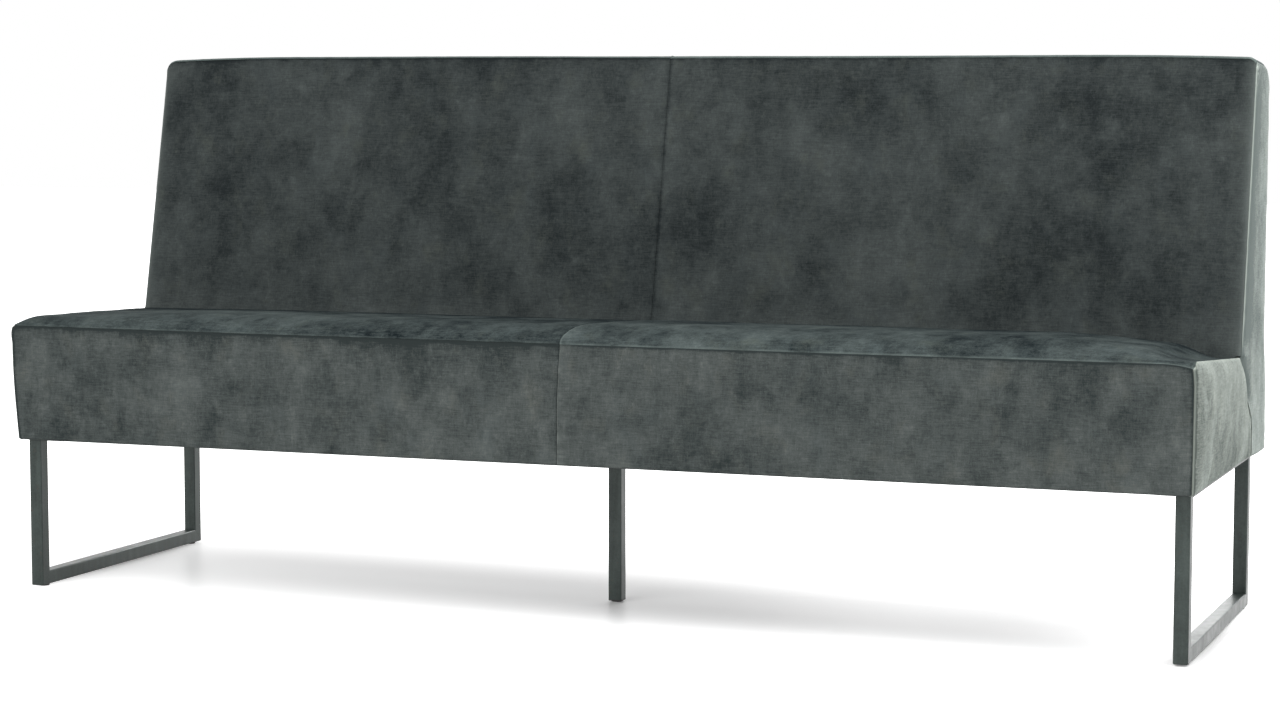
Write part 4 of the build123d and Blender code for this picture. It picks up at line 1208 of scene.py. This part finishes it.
for side in (-1, 1):
    hand = sideName(side)
    dress(seatTopHalf(side), "seatTop", f"seat_top_cover_{hand}", f"seat_foam_{hand}")
    dress(seatFrontHalf(side), "seatFront", f"seat_front_cover_{hand}", "seat_front_wadding")
    dress(seatEndPanel(side), "seatEnd", f"seat_end_cover_{hand}", f"seat_end_pad_{hand}")
    dress(backFrontHalf(side), "backFront", f"back_front_cover_{hand}", f"back_foam_{hand}")
    dress(backTopHalf(side), "backTop", f"back_top_cover_{hand}")
    dress(backEndPanel(side), "backEnd", f"back_end_cover_{hand}", f"back_end_foam_{hand}")
    dress(backRearHalf(side), "backRear", f"back_rear_cover_{hand}", "back_rear_wadding")
    print("bench: covers on the", hand)

dustCover = {"thickness": 0.001, "sag": 0.0012, "sagReach": 0.1, "columns": 120, "rows": 40}


def dustSheet():
    plan = dustCover
    low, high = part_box("dust_cover")

    def place(across, along):
        x, y = lerp(low.x, high.x, across), lerp(low.y, high.y, along)
        toEdge = min(x - low.x, high.x - x, y - low.y, high.y - y)
        sag = plan["sag"] * clamp(toEdge / plan["sagReach"])
        return x, y, high.z - sag * (0.5 + 0.5 * wave(x / 0.3, y / 0.2, 41.0))

    mesh = bmesh.new()
    addGrid(mesh, plan["columns"], plan["rows"], place, 1)
    bmesh.ops.recalc_face_normals(mesh, faces=mesh.faces[:])
    bmesh.ops.solidify(mesh, geom=mesh.faces[:], thickness=plan["thickness"])
    bmesh.ops.recalc_face_normals(mesh, faces=mesh.faces[:])
    piece = keepPiece("dustSheet", mesh)
    piece.data.materials.append(plain["spunCloth"])
    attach(piece, "root")
    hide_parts("dust_cover")


dustSheet()
print("bench: dust cover under the seat")

studio = {
    "floorSize": 40.0,
    "floorColour": (0.80, 0.80, 0.80),
    # Light that the camera sees added to the floor: little on a line under the bench, 1 away from it, and
    # less to the right. This paints the shadow's shape, a narrow band under the bench, over the real
    # shadow.
    "shadowLine": {"half": 1.03, "y": -0.03, "slope": -0.09, "near": 0.03, "far": 0.56},
    "shadowGlow": {"middle": 0.07, "slope": -0.17},
    "world": 0.66,
    "sideLight": {"at": (3.7, -0.8, 3.5), "aim": (0.4, 0.0, 0.4), "size": (2.4, 2.4), "power": 150.0},
    "frontLight": {"at": (-1.6, -4.6, 2.8), "aim": (0.0, 0.0, 0.4), "size": (4.0, 2.0), "power": 110.0},
    "rearLight": {"at": (0.6, 4.6, 2.6), "aim": (0.0, 0.0, 0.3), "size": (4.0, 2.0), "power": 150.0},
    "topLight": {"at": (0.0, -0.4, 4.0), "aim": (0.0, 0.0, 0.0), "size": (4.0, 3.0), "power": 30.0},
}


def studioFloor():
    mesh = bmesh.new()
    bmesh.ops.create_grid(mesh, x_segments=2, y_segments=2, size=studio["floorSize"] / 2)
    floor = keepPiece("studioFloor", mesh)
    material, tree, shader = newMaterial("paleFloor")
    colour = (*studio["floorColour"], 1)
    feed(tree, shader, {"Base Color": colour, "Roughness": 0.35, "Specular IOR Level": 0.3})
    line, level = studio["shadowLine"], studio["shadowGlow"]
    axes = addNode(tree, "SeparateXYZ")
    tree.links.new(objectPlace(tree), axes.inputs[0])
    x, y = axes.outputs["X"], axes.outputs["Y"]
    # Painted shadow: less added light along the line under the bench and to the right
    beyond = calc(tree, "MAXIMUM", calc(tree, "SUBTRACT", calc(tree, "ABSOLUTE", x), line["half"]), 0.0)
    aside = calc(tree, "SUBTRACT", y, calc(tree, "MULTIPLY_ADD", x, line["slope"], line["y"]))
    away = calc(tree, "MULTIPLY_ADD", beyond, beyond, calc(tree, "MULTIPLY", aside, aside))
    low = calc(tree, "MAXIMUM", calc(tree, "MULTIPLY_ADD", x, level["slope"], level["middle"]), 0.0)
    strength = stretch(tree, calc(tree, "SQRT", away), line["near"], line["far"], low, 1.0)
    strength.node.interpolation_type = "SMOOTHSTEP"
    glow = addNode(tree, "Emission", Strength=strength)
    adding = addNode(tree, "AddShader")
    feed(tree, adding, {0: shader.outputs[0], 1: glow.outputs[0]})
    mixing = addNode(tree, "MixShader")
    camera = addNode(tree, "LightPath").outputs["Is Camera Ray"]
    feed(tree, mixing, {0: camera, 1: shader.outputs[0], 2: adding.outputs[0]})
    feed(tree, tree.nodes["Material Output"], {"Surface": mixing.outputs[0]})
    floor.data.materials.append(material)


def studioWorld():
    world = bpy.data.worlds.new("studioWorld")
    bpy.context.scene.world = world
    world.use_nodes = True
    tree = world.node_tree
    tree.nodes.clear()
    rays = addNode(tree, "LightPath").outputs
    seen = calc(tree, "MAXIMUM", rays["Is Camera Ray"], rays["Is Glossy Ray"])
    seen = calc(tree, "MAXIMUM", seen, rays["Is Transmission Ray"])
    soft = addNode(tree, "Background", Color=(1, 1, 1, 1), Strength=studio["world"])
    white = addNode(tree, "Background", Color=(1, 1, 1, 1), Strength=1.0)
    mixing = addNode(tree, "MixShader")
    feed(tree, mixing, {0: seen, 1: soft.outputs[0], 2: white.outputs[0]})
    addNode(tree, "OutputWorld", Surface=mixing.outputs[0])


def softBox(name, plan):
    light = bpy.data.lights.new(name, "AREA")
    light.shape = "RECTANGLE"
    light.size, light.size_y = plan["size"]
    light.energy = plan["power"]
    lamp = bpy.data.objects.new(name, light)
    lamp.location = plan["at"]
    aim = Vector(plan["aim"]) - Vector(plan["at"])
    lamp.rotation_euler = aim.to_track_quat("-Z", "Y").to_euler()
    bpy.context.scene.collection.objects.link(lamp)


studioFloor()
studioWorld()
for name in ("sideLight", "frontLight", "rearLight", "topLight"):
    softBox(name, studio[name])

cameraPlan = {
    "at": (1.8996, -4.9511, 0.9124), "turn": (84.8304, -0.0388, 20.8507),
    "lens": 82.062, "sensor": 36.0, "far": 100.0,
}
lens = bpy.data.cameras.new("photoCamera")
lens.lens = cameraPlan["lens"]
lens.sensor_width = cameraPlan["sensor"]
lens.clip_end = cameraPlan["far"]
camera = bpy.data.objects.new("photoCamera", lens)
camera.location = cameraPlan["at"]
camera.rotation_euler = Euler([radians(angle) for angle in cameraPlan["turn"]])
bpy.context.scene.collection.objects.link(camera)
bpy.context.scene.camera = camera
bpy.context.scene.view_settings.view_transform = "Standard"
print("bench: studio ready")
